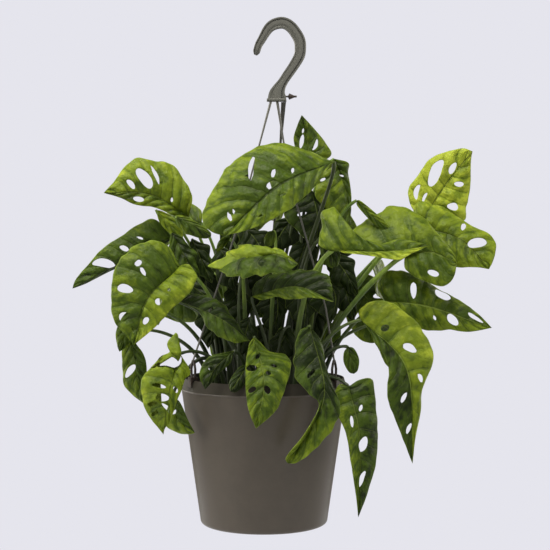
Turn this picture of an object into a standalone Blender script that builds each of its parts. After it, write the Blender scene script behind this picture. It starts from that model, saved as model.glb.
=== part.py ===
"""Monstera adansonii in a plastic hanging pot, in metres, +Z up, hook seat at the origin."""

import math

import bpy
from mathutils import Vector

MM = 0.001

# The pot, in millimetres above its underside.
POT_BASE_RADIUS = 63.0
POT_SEAM_RADIUS = 82.5
POT_TOP_RADIUS = 79.8
POT_SEAM_HEIGHT = 135.0
POT_HEIGHT = 146.0
POT_WALL = 1.6
POT_CORNER = 4.0
SOIL_TOP = 131.0
GAP = 0.3
ROUND_STEPS = 48

# The hook's inside top, where it rests on a rail, measured from the middle of the pot's underside.
HOOK_SEAT = Vector((16.0, 0.0, 493.7))
HOOK_DEPTH = 7.0
HOOK_FOOT = 421.0

LEAF_THICKNESS = 1.0
LEAF_ARCH = 0.10
SMALLEST_WINDOW = 9.0
FARTHEST_CELL = 16.0
WINDOW_TURN = 60.0
WINDOW_FRAME = 2.2
PETIOLE_FOOT = 2.6
PETIOLE_TIP = 1.4

# A leaf is laid out as it shows to someone standing in front of the pot with the eye here.
EYE = Vector((11.0, -1330.0, 273.0))

# Rows along a leaf and bands across one. The wide rows and the bands next to the middle are cells
# that can open as a window, and no two of those cells share a corner.
ROWS = (0.0, 0.03, 0.08, 0.22, 0.29, 0.45, 0.52, 0.67, 0.74, 0.87, 0.95, 1.0)
BANDS = (-1.0, -0.72, -0.2, 0.0, 0.2, 0.72, 1.0)
WINDOW_ROWS = (2, 4, 6, 8)
WINDOW_BANDS = (1, 4)

for thing in list(bpy.data.objects):
    bpy.data.objects.remove(thing, do_unlink=True)

origin = bpy.data.objects.new("pot_origin", None)
origin.location = -HOOK_SEAT * MM
bpy.context.scene.collection.objects.link(origin)


def material(name, color, roughness, metallic=0.0):
    made = bpy.data.materials.new(name)
    made.use_nodes = True
    shader = made.node_tree.nodes["Principled BSDF"]
    shader.inputs["Base Color"].default_value = (*color, 1.0)
    shader.inputs["Roughness"].default_value = roughness
    shader.inputs["Metallic"].default_value = metallic
    return made


def mesh_object(name, points, faces, color, roughness, smooth=True):
    mesh = bpy.data.meshes.new(name)
    mesh.from_pydata([tuple(Vector(p) * MM) for p in points], [], faces)
    mesh.validate()
    mesh.materials.append(material(name + "_material", color, roughness))
    mesh.polygons.foreach_set("use_smooth", [smooth] * len(mesh.polygons))
    made = bpy.data.objects.new(name, mesh)
    made.parent = origin
    bpy.context.scene.collection.objects.link(made)
    return made


def lathe(name, profile, color, roughness):
    """A closed solid of revolution. The profile starts and ends on the axis."""
    points = [(0.0, 0.0, profile[0][1])]
    for radius, height in profile[1:-1]:
        for step in range(ROUND_STEPS):
            turn = math.tau * step / ROUND_STEPS
            points.append((radius * math.cos(turn), radius * math.sin(turn), height))
    points.append((0.0, 0.0, profile[-1][1]))
    rings = len(profile) - 2
    faces = []
    for step in range(ROUND_STEPS):
        after = (step + 1) % ROUND_STEPS
        faces.append((0, 1 + after, 1 + step))
        for ring in range(rings - 1):
            low = 1 + ring * ROUND_STEPS
            high = low + ROUND_STEPS
            faces.append((low + step, low + after, high + after, high + step))
        last = 1 + (rings - 1) * ROUND_STEPS
        faces.append((last + step, last + after, len(points) - 1))
    return mesh_object(name, points, faces, color, roughness)


def wall_radius(height):
    """The outside radius of the pot's straight wall at a height."""
    share = height / POT_SEAM_HEIGHT
    return POT_BASE_RADIUS + (POT_SEAM_RADIUS - POT_BASE_RADIUS) * share


def pot():
    outside = [
        (0.0, 0.0),
        (POT_BASE_RADIUS - POT_CORNER, 0.0),
        (POT_BASE_RADIUS - 1.1, 1.2),
        (wall_radius(POT_CORNER), POT_CORNER),
        (wall_radius(50), 50.0),
        (wall_radius(100), 100.0),
        (wall_radius(POT_SEAM_HEIGHT - 1), POT_SEAM_HEIGHT - 1.0),
        (POT_SEAM_RADIUS + 0.5, POT_SEAM_HEIGHT),
        (POT_SEAM_RADIUS + 0.3, POT_SEAM_HEIGHT + 1.2),
        (POT_TOP_RADIUS + 0.3, POT_HEIGHT - 0.6),
        (POT_TOP_RADIUS - 0.3, POT_HEIGHT),
    ]
    inside = [
        (POT_TOP_RADIUS - POT_WALL, POT_HEIGHT - 0.3),
        (POT_SEAM_RADIUS - POT_WALL, POT_SEAM_HEIGHT),
        (wall_radius(100) - POT_WALL, 100.0),
        (wall_radius(50) - POT_WALL, 50.0),
        (wall_radius(POT_CORNER) - POT_WALL, POT_CORNER),
        (POT_BASE_RADIUS - POT_CORNER - 0.5, POT_WALL),
        (0.0, POT_WALL),
    ]
    lathe("pot", outside + inside, (0.062, 0.052, 0.044), 0.42)


def soil():
    clear = POT_WALL + GAP
    lathe(
        "soil",
        [
            (0.0, POT_WALL + GAP),
            (POT_BASE_RADIUS - POT_CORNER - 2.0, POT_WALL + GAP),
            (wall_radius(50) - clear, 50.0),
            (wall_radius(100) - clear, 100.0),
            (wall_radius(SOIL_TOP - 3) - clear, SOIL_TOP - 3.0),
            (wall_radius(SOIL_TOP - 3) - clear - 3.0, SOIL_TOP),
            (0.0, SOIL_TOP),
        ],
        (0.020, 0.013, 0.009),
        0.95,
    )


def swept(name, stations, color, roughness, smooth=True):
    """A solid through stations. Each is (centre, half width vector, half depth vector, corner share)."""
    points = []
    for centre, wide, deep, corner in stations:
        for a, b in (
            (1, corner), (corner, 1), (-corner, 1), (-1, corner),
            (-1, -corner), (-corner, -1), (corner, -1), (1, -corner),
        ):
            points.append(centre + wide * a + deep * b)
    faces = [tuple(range(7, -1, -1))]
    for ring in range(len(stations) - 1):
        for side in range(8):
            after = (side + 1) % 8
            low = ring * 8
            faces.append((low + side, low + after, low + 8 + after, low + 8 + side))
    last = (len(stations) - 1) * 8
    faces.append(tuple(last + side for side in range(8)))
    return mesh_object(name, points, faces, color, roughness, smooth)


# The hook's middle line: across, up and how wide the bar is there.
HOOK_LINE = (
    (-8.6, 467.5, 4.0), (-7.5, 470.5, 6.8), (-5.2, 477.5, 7.4), (-2.0, 483.0, 8.0),
    (3.6, 492.4, 9.4), (9.0, 497.2, 10.4), (16.5, 499.3, 11.0), (22.4, 498.2, 11.0),
    (28.0, 494.0, 11.0), (33.0, 487.0, 11.2), (35.6, 481.5, 11.4), (36.3, 476.0, 11.4),
    (35.5, 467.0, 11.0), (30.0, 457.0, 10.0), (23.4, 447.4, 9.5), (18.6, 440.0, 9.6),
    (15.2, 434.0, 12.6), (13.2, 428.0, 17.0), (13.0, HOOK_FOOT, 19.0),
)


def hook():
    stations = []
    for index, (x, z, width) in enumerate(HOOK_LINE):
        before = HOOK_LINE[max(index - 1, 0)]
        after = HOOK_LINE[min(index + 1, len(HOOK_LINE) - 1)]
        along = Vector((after[0] - before[0], 0.0, after[1] - before[1])).normalized()
        if index >= len(HOOK_LINE) - 2:
            along = Vector((0.0, 0.0, -1.0))
        wide = Vector((0.0, 1.0, 0.0)).cross(along) * (width / 2)
        deep = Vector((0.0, HOOK_DEPTH / 2, 0.0))
        if index == 0:
            deep *= 0.7
        stations.append((Vector((x, 0.0, z)), wide, deep, 0.62))
    swept("hanger_hook", stations, (0.150, 0.158, 0.140), 0.38, False)


def strand(name, top, bearing):
    """A flat cord of plastic from the hook's foot to a clip that grips the pot's lip."""
    outward = Vector((math.cos(bearing), math.sin(bearing), 0.0))
    sideways = Vector((0.0, 0.0, 1.0)).cross(outward)
    end = outward * (POT_TOP_RADIUS - 0.8) + Vector((0.0, 0.0, POT_HEIGHT + 3.0))
    start = Vector((top[0], top[1], HOOK_FOOT - GAP))
    stations = []
    for share, width in ((0.0, 4.3), (0.05, 4.0), (0.14, 2.2), (0.5, 2.0), (0.93, 2.0), (1.0, 3.2)):
        centre = start.lerp(end, share)
        stations.append((centre, sideways * (width / 2), outward * -0.9, 0.4))
    clip_outline = (
        (3.6, POT_HEIGHT - 6.5), (3.6, POT_HEIGHT + 3.6), (-4.6, POT_HEIGHT + 3.6),
        (-4.6, POT_HEIGHT - 7.0), (-2.4, POT_HEIGHT - 7.0), (-2.4, POT_HEIGHT + 0.5),
        (1.0, POT_HEIGHT + 0.5), (2.9, POT_HEIGHT - 6.5),
    )
    points = []
    for side in (-4.0, 4.0):
        for out, height in clip_outline:
            spot = outward * (POT_TOP_RADIUS + out) + sideways * side
            points.append(spot + Vector((0.0, 0.0, height)))
    count = len(clip_outline)
    faces = [tuple(range(count)), tuple(range(2 * count - 1, count - 1, -1))]
    for corner in range(count):
        after = (corner + 1) % count
        faces.append((after, corner, corner + count, after + count))
    clip = mesh_object(name + "_clip_cutter", points, faces, (0.05, 0.03, 0.02), 0.5, False)
    clip.hide_render = True
    clip.display_type = "WIRE"
    cord = swept(name, stations, (0.150, 0.158, 0.140), 0.42, False)
    join = cord.modifiers.new("clip", "BOOLEAN")
    join.operation = "UNION"
    join.solver = "EXACT"
    join.object = clip


def seen(x, z, y):
    """The place at depth y that shows at (x, z) from the eye, which is exact at depth 0."""
    share = (y - EYE.y) / -EYE.y
    return Vector((EYE.x + (x - EYE.x) * share, y, EYE.z + (z - EYE.z) * share))


def path(points, share):
    """The point a share of the way along a smooth curve through the points."""
    corners = [Vector(point) for point in points]
    ends = [corners[0] * 2 - corners[1], *corners, corners[-1] * 2 - corners[-2]]
    spots = []
    for index in range(len(corners) - 1):
        a, b, c, d = ends[index : index + 4]
        for step in range(12):
            t = step / 12
            spot = b * 2 + (c - a) * t + (a * 2 - b * 5 + c * 4 - d) * t**2
            spots.append((spot + (b * 3 - a - c * 3 + d) * t**3) / 2)
    spots.append(corners[-1])
    reach = [0.0]
    for before, after in zip(spots, spots[1:]):
        reach.append(reach[-1] + (after - before).length)
    goal = share * reach[-1]
    for index in range(1, len(spots)):
        if reach[index] >= goal:
            span = reach[index] - reach[index - 1]
            return spots[index - 1].lerp(spots[index], (goal - reach[index - 1]) / span)
    return spots[-1]


def with_depth(points, line):
    """Fills in a missing depth: a margin lies a little behind the midrib beside it."""
    full = []
    for index, point in enumerate(points):
        if len(point) == 2:
            beside = path(line, (index + 1) / (len(points) + 1))
            away = math.hypot(point[0] - beside.x, point[1] - beside.y)
            point = (*point, beside.z + 0.16 * away)
        full.append(point)
    return full


def surface(leaf, u, v):
    """The place a share u along the midrib and v across, from -1 at the right margin to 1."""
    line = leaf["line"]
    side = "left" if (v > 0) != leaf.get("back", False) else "right"
    margin = [line[0], *with_depth(leaf[side], line), line[-1]]
    spot = seen(*path(line, u))
    across = seen(*path(margin, u)) - spot
    ahead = seen(*path(line, min(u + 0.03, 1.0))) - seen(*path(line, max(u - 0.03, 0.0)))
    normal = ahead.cross(across if v > 0 else -across)
    normal.normalize()
    share = abs(v)
    return spot + across * share + normal * (across.length * LEAF_ARCH * 4 * share * (1 - share))


def shown_at(point):
    """Where a place shows from the eye: the reverse of seen."""
    share = (point.y - EYE.y) / -EYE.y
    return Vector((EYE.x + (point.x - EYE.x) / share, EYE.z + (point.z - EYE.z) / share))


def between(low, value, high):
    return min(max(value, low), high)


def nearest_cell(leaf, goal, taken):
    """The free cell that shows nearest to the goal, on the goal's own side of the midrib."""
    found = None
    for row in WINDOW_ROWS:
        for band in WINDOW_BANDS:
            u = (ROWS[row] + ROWS[row + 1]) / 2
            v = (BANDS[band] + BANDS[band + 1]) / 2
            here = shown_at(surface(leaf, u, v))
            step_u = (shown_at(surface(leaf, u + 0.01, v)) - here) * 100
            step_v = (shown_at(surface(leaf, u, v + 0.01)) - here) * 100
            area = step_u.cross(step_v)
            goal_u = u + (goal - here).cross(step_v) / area
            goal_v = v + step_u.cross(goal - here) / area
            away = (here - goal).length
            same_side = goal_v * v > 0
            if (row, band) not in taken and same_side and (found is None or away < found[0]):
                found = (away, row, band, goal_u, goal_v, step_u, step_v)
    return found


def open_windows(leaf, grid):
    """Draws the cell nearest to each window onto that window's oval. Gives the open cells."""
    taken = set()
    for x, z, half_long, half_wide, *turn in leaf["windows"]:
        goal = Vector((x, z))
        found = nearest_cell(leaf, goal, taken)
        if half_long * half_wide < SMALLEST_WINDOW or found is None or found[0] > FARTHEST_CELL:
            continue
        away, row, band, u, v, step_u, step_v = found
        turned = math.radians(turn[0] if turn else WINDOW_TURN)
        long_way = Vector((math.cos(turned), math.sin(turned)))
        side = -1 if v < 0 else 1
        half_width = (surface(leaf, u, side) - surface(leaf, u, 0.01 * side)).length
        frame = min(0.3, WINDOW_FRAME / half_width)
        low_u = (ROWS[row - 1] + ROWS[row] * 2) / 3
        high_u = (ROWS[row + 1] * 2 + ROWS[row + 2]) / 3
        low_v, high_v = (frame - 1, -frame) if v < 0 else (frame, 1 - frame)
        corners = []
        for r, c in ((0, 0), (0, 1), (1, 1), (1, 0)):
            du = (ROWS[row + 1] - ROWS[row]) * (r - 0.5)
            dv = (BANDS[band + 1] - BANDS[band]) * (c - 0.5)
            way = step_u * du + step_v * dv
            reach = math.hypot(way.dot(long_way) / half_long, way.cross(long_way) / half_wide)
            corners.append((r, c, du / reach, dv / reach))
        half_u = max(abs(corner[2]) for corner in corners)
        half_v = max(abs(corner[3]) for corner in corners)
        fit = min(1.0, (high_u - low_u) / 2 / half_u, (high_v - low_v) / 2 / half_v)
        u = between(low_u + half_u * fit, u, high_u - half_u * fit)
        v = between(low_v + half_v * fit, v, high_v - half_v * fit)
        for r, c, du, dv in corners:
            grid[row + r][band + c] = surface(leaf, u + du * fit, v + dv * fit)
        taken.add((row, band))
    return taken


def blade(name, leaf):
    grid = [[surface(leaf, u, v) for v in BANDS] for u in ROWS]
    windows = open_windows(leaf, grid)
    points = [grid[0][3]]
    for row in grid[1:-1]:
        points.extend(row)
    points.append(grid[-1][3])
    faces = []
    across_count = len(BANDS)
    last_row = len(ROWS) - 2
    for row in range(last_row + 1):
        for band in range(across_count - 1):
            if (row, band) in windows:
                continue
            low = 1 + (row - 1) * across_count + band
            high = low + across_count
            if row == 0:
                faces.append((0, high, high + 1))
            elif row == last_row:
                faces.append((low + 1, low, len(points) - 1))
            else:
                faces.append((low + 1, low, high, high + 1))
    made = mesh_object("leaf_" + name, points, faces, leaf["color"], 0.45)
    wall = made.modifiers.new("thickness", "SOLIDIFY")
    wall.thickness = LEAF_THICKNESS * MM
    wall.offset = 0.0
    base = grid[0][3]
    along = (surface(leaf, 0.06, 1e-9) - base).normalized()
    facing = along.cross(surface(leaf, 0.08, 0.5) - surface(leaf, 0.08, -0.5)).normalized()
    return base, along, facing


def petiole(name, leaf, base, along, facing):
    """The stalk from the soil to just short of a leaf's base."""
    start = Vector((*leaf["foot"], SOIL_TOP + GAP + 0.2))
    rise = start + Vector((0.0, 0.0, leaf["lift"]))
    arrive = (base - rise).normalized()
    normal = (facing - along * facing.dot(along)).normalized()
    lead = arrive.dot(along)
    if lead < 0.2:
        arrive += along * (0.2 - lead)
        arrive += normal * max(0.0, 0.5 - arrive.dot(normal))
    arrive.normalize()
    lead = arrive.dot(along)
    clear = leaf.get("clear", GAP + 0.2)
    end = base - along * (clear + PETIOLE_TIP * math.sqrt(max(0.0, 1 - lead * lead)))
    if "under" in leaf:
        end = base - facing * (leaf["under"] + LEAF_THICKNESS / 2 + PETIOLE_TIP)
    reach = min(26.0, 0.4 * (end - rise).length)
    before = end - arrive * reach
    curve = bpy.data.curves.new("petiole_" + name, "CURVE")
    curve.dimensions = "3D"
    curve.bevel_depth = PETIOLE_FOOT * MM
    curve.bevel_resolution = 1
    curve.use_fill_caps = True
    curve.render_resolution_u = 0
    line = curve.splines.new("POLY")
    steps = 9
    line.points.add(steps)
    for step in range(steps + 1):
        t = step / steps
        spot = start * (1 - t) ** 3 + rise * 3 * t * (1 - t) ** 2
        spot += before * 3 * t * t * (1 - t) + end * t**3
        line.points[step].co = (*(spot * MM), 1.0)
        line.points[step].radius = 1 + (PETIOLE_TIP / PETIOLE_FOOT - 1) * t
    curve.materials.append(material("petiole_" + name + "_material", (0.16, 0.26, 0.05), 0.45))
    made = bpy.data.objects.new("petiole_" + name, curve)
    made.parent = origin
    bpy.context.scene.collection.objects.link(made)


BRIGHT = (0.22, 0.36, 0.05)
GREEN = (0.10, 0.19, 0.03)
DARK = (0.045, 0.09, 0.02)
PALE = (0.16, 0.24, 0.07)

# Every place is (across, up, depth) in millimetres as it shows from the front; depth below 0 is
# nearer. The line is the midrib from base to tip, and left and right are the margins with the tip
# held up. A window is (across, up, half length, half width, turn in degrees). Foot is where the
# stalk leaves the soil and lift how straight it starts. Clear is the gap that the stalk keeps to
# the blade along the midrib, and under the gap where it comes from beneath. A back leaf faces away.
LEAVES = {
    "upper_left": dict(
        line=((-75, 306, 14), (-114, 328, 4), (-160, 330, -8)),
        left=((-89, 307, 8), (-108.6, 315, 4), (-128, 318, 2), (-143, 325, -2)),
        right=((-72, 328, 10), (-82.5, 346, 14), (-93, 358.5, 14), (-112, 362, 12), (-126, 365, 10),
               (-139, 356, 6), (-150, 341, 0)),
        windows=((-119, 344.5, 12, 5, -50), (-133, 339, 6, 2.6, -50), (-108, 348, 10, 1.9, -62),
                 (-125.5, 323.7, 5.5, 2.6, -8), (-92, 323, 2.5, 1.3, 80)),
        foot=(-34, 20), lift=70, color=GREEN,
    ),
    "outer_left": dict(
        line=((-89, 287, 22), (-140, 262, 8), (-191.5, 234.6, -6)),
        left=((-112, 270, 26), (-150, 254, 16), (-177, 240, 2)),
        right=((-109.6, 303.5), (-128, 296.5), (-143, 286.7), (-158.4, 277), (-172.5, 261.8),
               (-187.7, 244.4)),
        windows=((-139.7, 274.7, 5, 2.6, -25), (-160.7, 260.3, 12, 4.4, -8), (-124, 285, 4, 1.2, -20)),
        foot=(-44, 6), lift=60, color=GREEN,
    ),
    "big_left": dict(
        line=((-84, 256, -36), (-117, 223, -56), (-130, 178, -62)),
        left=((-75, 258, -40), (-67, 246, -44), (-73, 232, -50), (-91, 215, -54), (-105, 200, -58),
              (-118, 188, -62)),
        right=((-95, 275, -34), (-112, 282.5, -40), (-134, 274, -48), (-148, 254, -54),
               (-153.5, 228, -58),
               (-150, 203, -60), (-139, 188, -62)),
        windows=((-125.7, 260, 4, 3, 40), (-121, 251.5, 5, 2, -60), (-139, 234.3, 8, 4.4, -12),
                 (-105.7, 221.3, 3.5, 3.4), (-140.7, 206.3, 5.6, 4.4, 30), (-118.3, 202, 4, 2.8, 60),
                 (-130.7, 193.7, 2.5, 1.3, 0), (-95, 233, 2, 1.5)),
        foot=(-34, -12), lift=70, color=GREEN,
    ),
    "low_left": dict(
        line=((-84, 169, -56), (-93.7, 134.5, -74), (-101, 88, -72)),
        left=((-74.2, 150.8), (-79.6, 143.2), (-83, 132.4), (-87.2, 121.5), (-93.7, 103), (-99.2, 94.4)),
        right=((-88, 190), (-97, 179), (-93.7, 171.4), (-104.6, 165), (-115.4, 154), (-123, 139),
               (-123.6, 129), (-119.8, 115), (-111, 101), (-102.4, 91)),
        windows=((-90, 161, 6, 2.6), (-105, 137, 8, 2), (-102, 125, 7, 4), (-88.5, 133, 3.5, 2),
                 (-112, 119, 5, 2.2), (-110, 109, 4, 2), (-96, 113, 5, 1.5)),
        foot=(-38, -30), lift=40, color=GREEN,
    ),
    "far_left": dict(
        line=((-134, 190, -20), (-128, 152, -26), (-119, 118, -30)),
        left=((-127.4, 178), (-119.8, 167), (-117.6, 150.8)),
        right=((-141.5, 178), (-141.5, 153), (-139.3, 136.7), (-130.6, 127), (-122, 120.4)),
        windows=((-134, 152, 8, 3.4),),
        foot=(-54, -8), lift=46, color=GREEN,
    ),
    "low_left_behind": dict(
        line=((-92, 126, -44), (-86, 104, -52), (-69.3, 89.5, -60)),
        left=((-84, 120.4), (-77.5, 105.3)),
        right=((-98, 110), (-98, 96.6), (-87, 90), (-76.4, 88.4)),
        windows=((-89.4, 110.7, 3, 1.6),),
        foot=(-46, -19), lift=64, color=DARK,
    ),
    "rim_left": dict(
        line=((-30, 172, -66), (-49.3, 154, -82), (-59, 133.5, -88)),
        left=((-34, 160), (-45, 150), (-53, 140)),
        right=((-40, 170), (-55, 166), (-63, 155), (-64, 145)),
        windows=((-53.6, 154, 2, 1.6),),
        foot=(-14, -46), lift=24, color=DARK,
    ),
    "lower_left": dict(
        line=((-86, 222, -34), (-45, 205, -60), (-14.5, 182, -66)),
        left=((-70, 228, -34), (-49.3, 223.5, -46), (-37.3, 216, -52), (-27.6, 199.6, -58)),
        right=((-72, 216, -36), (-62.3, 207, -48), (-58, 197.4, -54), (-47, 188.8, -60),
               (-33, 180.6, -64)),
        windows=((-52, 214, 4, 1.6),),
        foot=(-20, -36), lift=64, color=GREEN,
    ),
    "left_behind": dict(
        line=((-84, 250, -10), (-68, 234, -14), (-50, 222.5, -16)),
        left=((-70, 250), (-62, 240)),
        right=((-76, 230), (-62, 219)),
        windows=(),
        foot=(-22, 0), lift=80, color=DARK,
    ),
    "top": dict(
        line=((70, 361, -26), (14.4, 336.2, -52), (-39.3, 287.4, -62)),
        left=((62, 352, -34), (50, 335, -44), (24, 312.4, -60), (2, 300.4, -66), (-20, 291.8, -66)),
        right=((66, 362, -24), (43, 372, -20), (13, 380.2, -22), (-13, 373, -26), (-38, 352.5, -36),
               (-55.6, 325.4, -48), (-62, 303, -56), (-52, 291, -60)),
        windows=((-13, 354.7, 13, 2.9, 80), (9.3, 349.7, 5, 2.1, 75), (28.7, 352.3, 3, 1.6, 80),
                 (-34.5, 306, 5, 2, -65), (-30, 311, 3.5, 1.4, -60), (7, 338.5, 6, 3, 35),
                 (19, 328, 4, 1.2, 20),
                 (-4.6, 307, 3.5, 1.2, 20)),
        foot=(18, -8), lift=110, color=GREEN,
    ),
    "top_behind": dict(
        line=((46, 356, 12), (43, 383, 16), (37.7, 407.3, 14)),
        left=((34, 366), (30, 384), (33.4, 397)),
        right=((60, 362), (67, 370), (54, 389.4)),
        windows=((37.7, 381.3, 7, 2.1, 80), (52, 378, 6, 1.7, 75), (39, 392, 2.5, 1, 80)),
        foot=(12, 12), lift=150, color=GREEN,
    ),
    "top_right": dict(
        line=((70, 364, 12), (82, 330, 16), (85.4, 295, 14)),
        left=((84, 360, 14), (84, 349, 18), (87, 330, 18), (87, 312, 16)),
        right=((62, 356, 8), (53, 340, 4), (52, 325, 2), (62, 314, 6), (76, 300, 12)),
        windows=((77.8, 347, 2.5, 1), (58.9, 343.3, 3, 1.5)),
        foot=(34, 20), lift=150, color=PALE,
    ),
    "under_top": dict(
        line=((47, 333, 4), (54, 305, -1), (51.8, 276.6, -3)),
        left=((57, 322, 8), (59, 296, 2)),
        right=((36, 325, 6), (20, 309, 2), (34.5, 290.7, 0)),
        windows=((37.7, 309, 5, 1.8),),
        foot=(37, 2), lift=120, color=DARK,
    ),
    "centre_arched": dict(
        line=((-18, 262, -66), (10, 268, -78), (34, 259, -84)),
        left=((-30, 258, -62), (-56, 255, -66), (-42, 266, -60), (-31, 272.4, -60), (-20.6, 276.7, -60),
              (-3, 274.6, -64), (10.8, 274.6, -70), (22.8, 268, -78)),
        right=((-30, 256, -74), (-46, 252, -74), (-34, 247, -82), (-14, 246, -88), (5, 250, -90),
               (22, 250, -90)),
        windows=(),
        foot=(-24, -46), lift=90, under=1.4, color=BRIGHT,
    ),
    "centre_right": dict(
        line=((-12, 226, -46), (32, 236, -66), (69.4, 221.4, -74)),
        left=((-8, 240, -36), (12, 250, -44), (34, 253, -52), (56, 251, -60), (66, 245, -66),
              (68, 234, -72)),
        right=((0, 223, -54), (12, 226, -62), (28, 223.6, -70), (50, 225, -76)),
        windows=(),
        foot=(8, -38), lift=60, color=GREEN,
    ),
    "front": dict(
        line=((-10, 186, -66), (0, 140, -92), (-8, 94, -98)),
        left=((-3, 180, -68), (6, 171, -72), (20.6, 168, -76), (27, 158.5, -82), (24, 143, -88),
              (17, 123, -94), (11, 111, -96)),
        right=((-15, 178, -70), (-18.4, 158, -80), (-18.5, 140, -88), (-17.4, 123, -94), (-14, 108, -97)),
        windows=((-12.3, 154.7, 5.6, 3.2, 0), (10.3, 157, 4, 1.4, -15), (4.3, 149.7, 3, 2),
                 (3.3, 133, 4.4, 3, -60),
                 (-12, 133, 4.4, 2.6, 30), (-6.3, 166.5, 3, 2)),
        foot=(4, -58), lift=24, color=GREEN,
    ),
    "twisting": dict(
        line=((46, 197, -72), (60, 125, -98), (24, 59, -98)),
        left=((57, 181, -74), (62, 157, -84), (66, 138, -92), (74, 112, -98), (68, 98, -102),
              (56, 80, -104)),
        right=((35, 190, -74), (31.4, 163, -82), (34, 144, -88), (44, 130, -94), (57, 120, -100),
               (56, 107, -104), (40, 83, -106)),
        windows=((46.6, 149, 6, 2),),
        foot=(30, -52), lift=30, color=GREEN,
    ),
    "yellow_right": dict(
        line=((70, 274, -60), (113, 270.5, -76), (164.6, 277, -84)),
        left=((55, 278, -62), (57, 295, -50), (59, 310, -42), (70, 315.6, -40), (75, 304, -46),
              (86.5, 286, -58), (113, 279, -66), (132, 283, -72), (152, 281, -80)),
        right=((80, 270, -66), (88, 269.4, -72), (113, 266, -80), (133.7, 263, -86), (146.7, 268.8, -86)),
        windows=(),
        foot=(30, -34), lift=90, under=1.35, color=BRIGHT,
    ),
    "pale_right": dict(
        line=((140.8, 268.3, -22), (167.3, 270.4, -34), (192.8, 259.6, -44)),
        left=((88, 287, -16), (102, 303, -8), (126, 316.5, -2), (145, 313, -6), (162, 302, -16),
              (178, 283.5, -30), (190, 269, -42)),
        right=((142, 253, -30), (161, 241, -38), (178, 236, -44), (189, 244, -46)),
        windows=((169.3, 249.7, 6, 3, -20),),
        foot=(46, -12), lift=50, under=1.05, color=PALE,
    ),
    "far_right": dict(
        line=((150, 296, 10), (195, 284, -2), (225, 254, -12)),
        left=((150, 316, 18), (161, 321.4, 20), (183.6, 310.6, 16), (200, 302, 12), (214, 294, 6),
              (226, 288, 2), (232, 277, -4), (229, 262, -10)),
        right=((160, 276, 0), (180, 262, -6), (194.5, 255.8, -8), (211, 255.8, -12)),
        windows=((212.7, 280.3, 10, 4.6, 8), (199.3, 296.3, 3.6, 2.4, 70)),
        foot=(50, 6), lift=60, color=GREEN,
    ),
    "upper_right": dict(
        line=((162, 309, 34), (182, 339, 42), (208, 371.3, 38)),
        left=((150, 312, 30), (143.5, 330, 32), (153, 346.4, 36), (162, 359.4, 40), (172, 367, 42),
              (184, 371.3, 42), (199, 374.3, 40)),
        right=((185, 305, 36), (200, 303, 36), (202, 317, 40), (206, 336.6, 42), (206.4, 360.5, 40)),
        windows=((171, 349.7, 15, 5.4, 70), (188.3, 354.7, 6.5, 3, 62), (195, 338.7, 5, 2.6, -5),
                 (188.7, 316, 6, 3.6, -8), (152, 331, 8, 2.4, 80), (160, 325, 6, 1.5, 65)),
        foot=(46, 26), lift=90, color=BRIGHT,
    ),
    "right": dict(
        line=((121, 222, -12), (165, 216, -28), (228, 195, -32)),
        left=((114, 236, -8), (118, 246, -4), (129.4, 253, -2), (150, 249, -4), (175, 233.6, -12),
              (194.5, 223, -18), (212, 211, -26)),
        right=((135, 206, -20), (158.4, 194, -26), (169, 192.5, -28), (187, 193, -30), (205, 191, -32)),
        windows=((149.5, 233, 8, 3.2, 90), (178.9, 228, 9, 3.4, -25), (189, 203, 7, 4, -45),
                 (212, 205, 9, 1.8, -30), (170.7, 205.2, 3, 1.3)),
        foot=(58, -4), lift=40, color=GREEN,
    ),
    "hanging_right": dict(
        line=((97, 203, -44), (143, 153, -66), (149, 59, -62)),
        left=((95, 212, -40), (107, 222, -38), (123, 221.6, -40), (148, 206, -48), (164.6, 182, -56),
              (169, 162.4, -60), (158.4, 132.8, -64), (157, 113, -64), (151.3, 83, -62)),
        right=((104, 194, -50), (112, 180, -58), (124, 159, -66), (124, 140, -70), (123, 131, -72),
               (127, 115, -70), (139, 84, -66)),
        windows=((121, 194.7, 4.6, 3.4, 20), (146, 175.3, 8, 4, -20), (157, 144.5, 5, 2.1, -70),
                 (140, 125, 6, 2.2, 60), (145, 94, 6, 2, 70)),
        foot=(40, -42), lift=40, color=GREEN,
    ),
    "low_right": dict(
        line=((85, 136, -70), (96, 83, -80), (94.5, 5, -76)),
        left=((95, 142.5, -66), (108, 144.5, -62), (111, 132, -66), (112, 116, -70), (114, 90, -72),
              (112, 60, -74), (104, 30, -76)),
        right=((75, 138, -66), (70, 124, -70), (74, 107, -74), (82, 90, -78), (87, 60, -80),
               (92, 28, -80)),
        windows=((97, 114.7, 3.6, 1.8, 70), (88, 101, 6, 1.7, -85), (99.3, 78, 8, 4, 75),
                 (97.7, 43, 9, 2.4, 72)),
        foot=(48, -40), lift=26, clear=0.62, color=GREEN,
    ),
    "back_left": dict(
        line=((-50, 250, 62), (-78, 240, 84), (-100, 206, 92)),
        left=((-62, 272, 66), (-90, 256, 78), (-104, 228, 88)),
        right=((-40, 228, 70), (-58, 208, 84), (-80, 200, 92)),
        windows=((-86, 248, 7, 3), (-64, 220, 6, 2.6), (-94, 226, 5, 2)),
        foot=(-22, 48), lift=70, back=True, color=GREEN,
    ),
    "back_middle": dict(
        line=((14, 262, 66), (6, 246, 92), (-4, 205, 104)),
        left=((40, 254, 76), (34, 226, 94), (14, 208, 102)),
        right=((-12, 262, 76), (-20, 236, 92), (-16, 214, 100)),
        windows=((22, 240, 7, 3), (-8, 244, 6, 2.6), (-10, 222, 5, 2)),
        foot=(6, 54), lift=70, back=True, color=GREEN,
    ),
    "back_right": dict(
        line=((84, 236, 62), (106, 222, 82), (122, 182, 88)),
        left=((100, 250, 64), (124, 232, 76), (130, 204, 84)),
        right=((80, 214, 74), (90, 190, 84), (104, 180, 88)),
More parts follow.
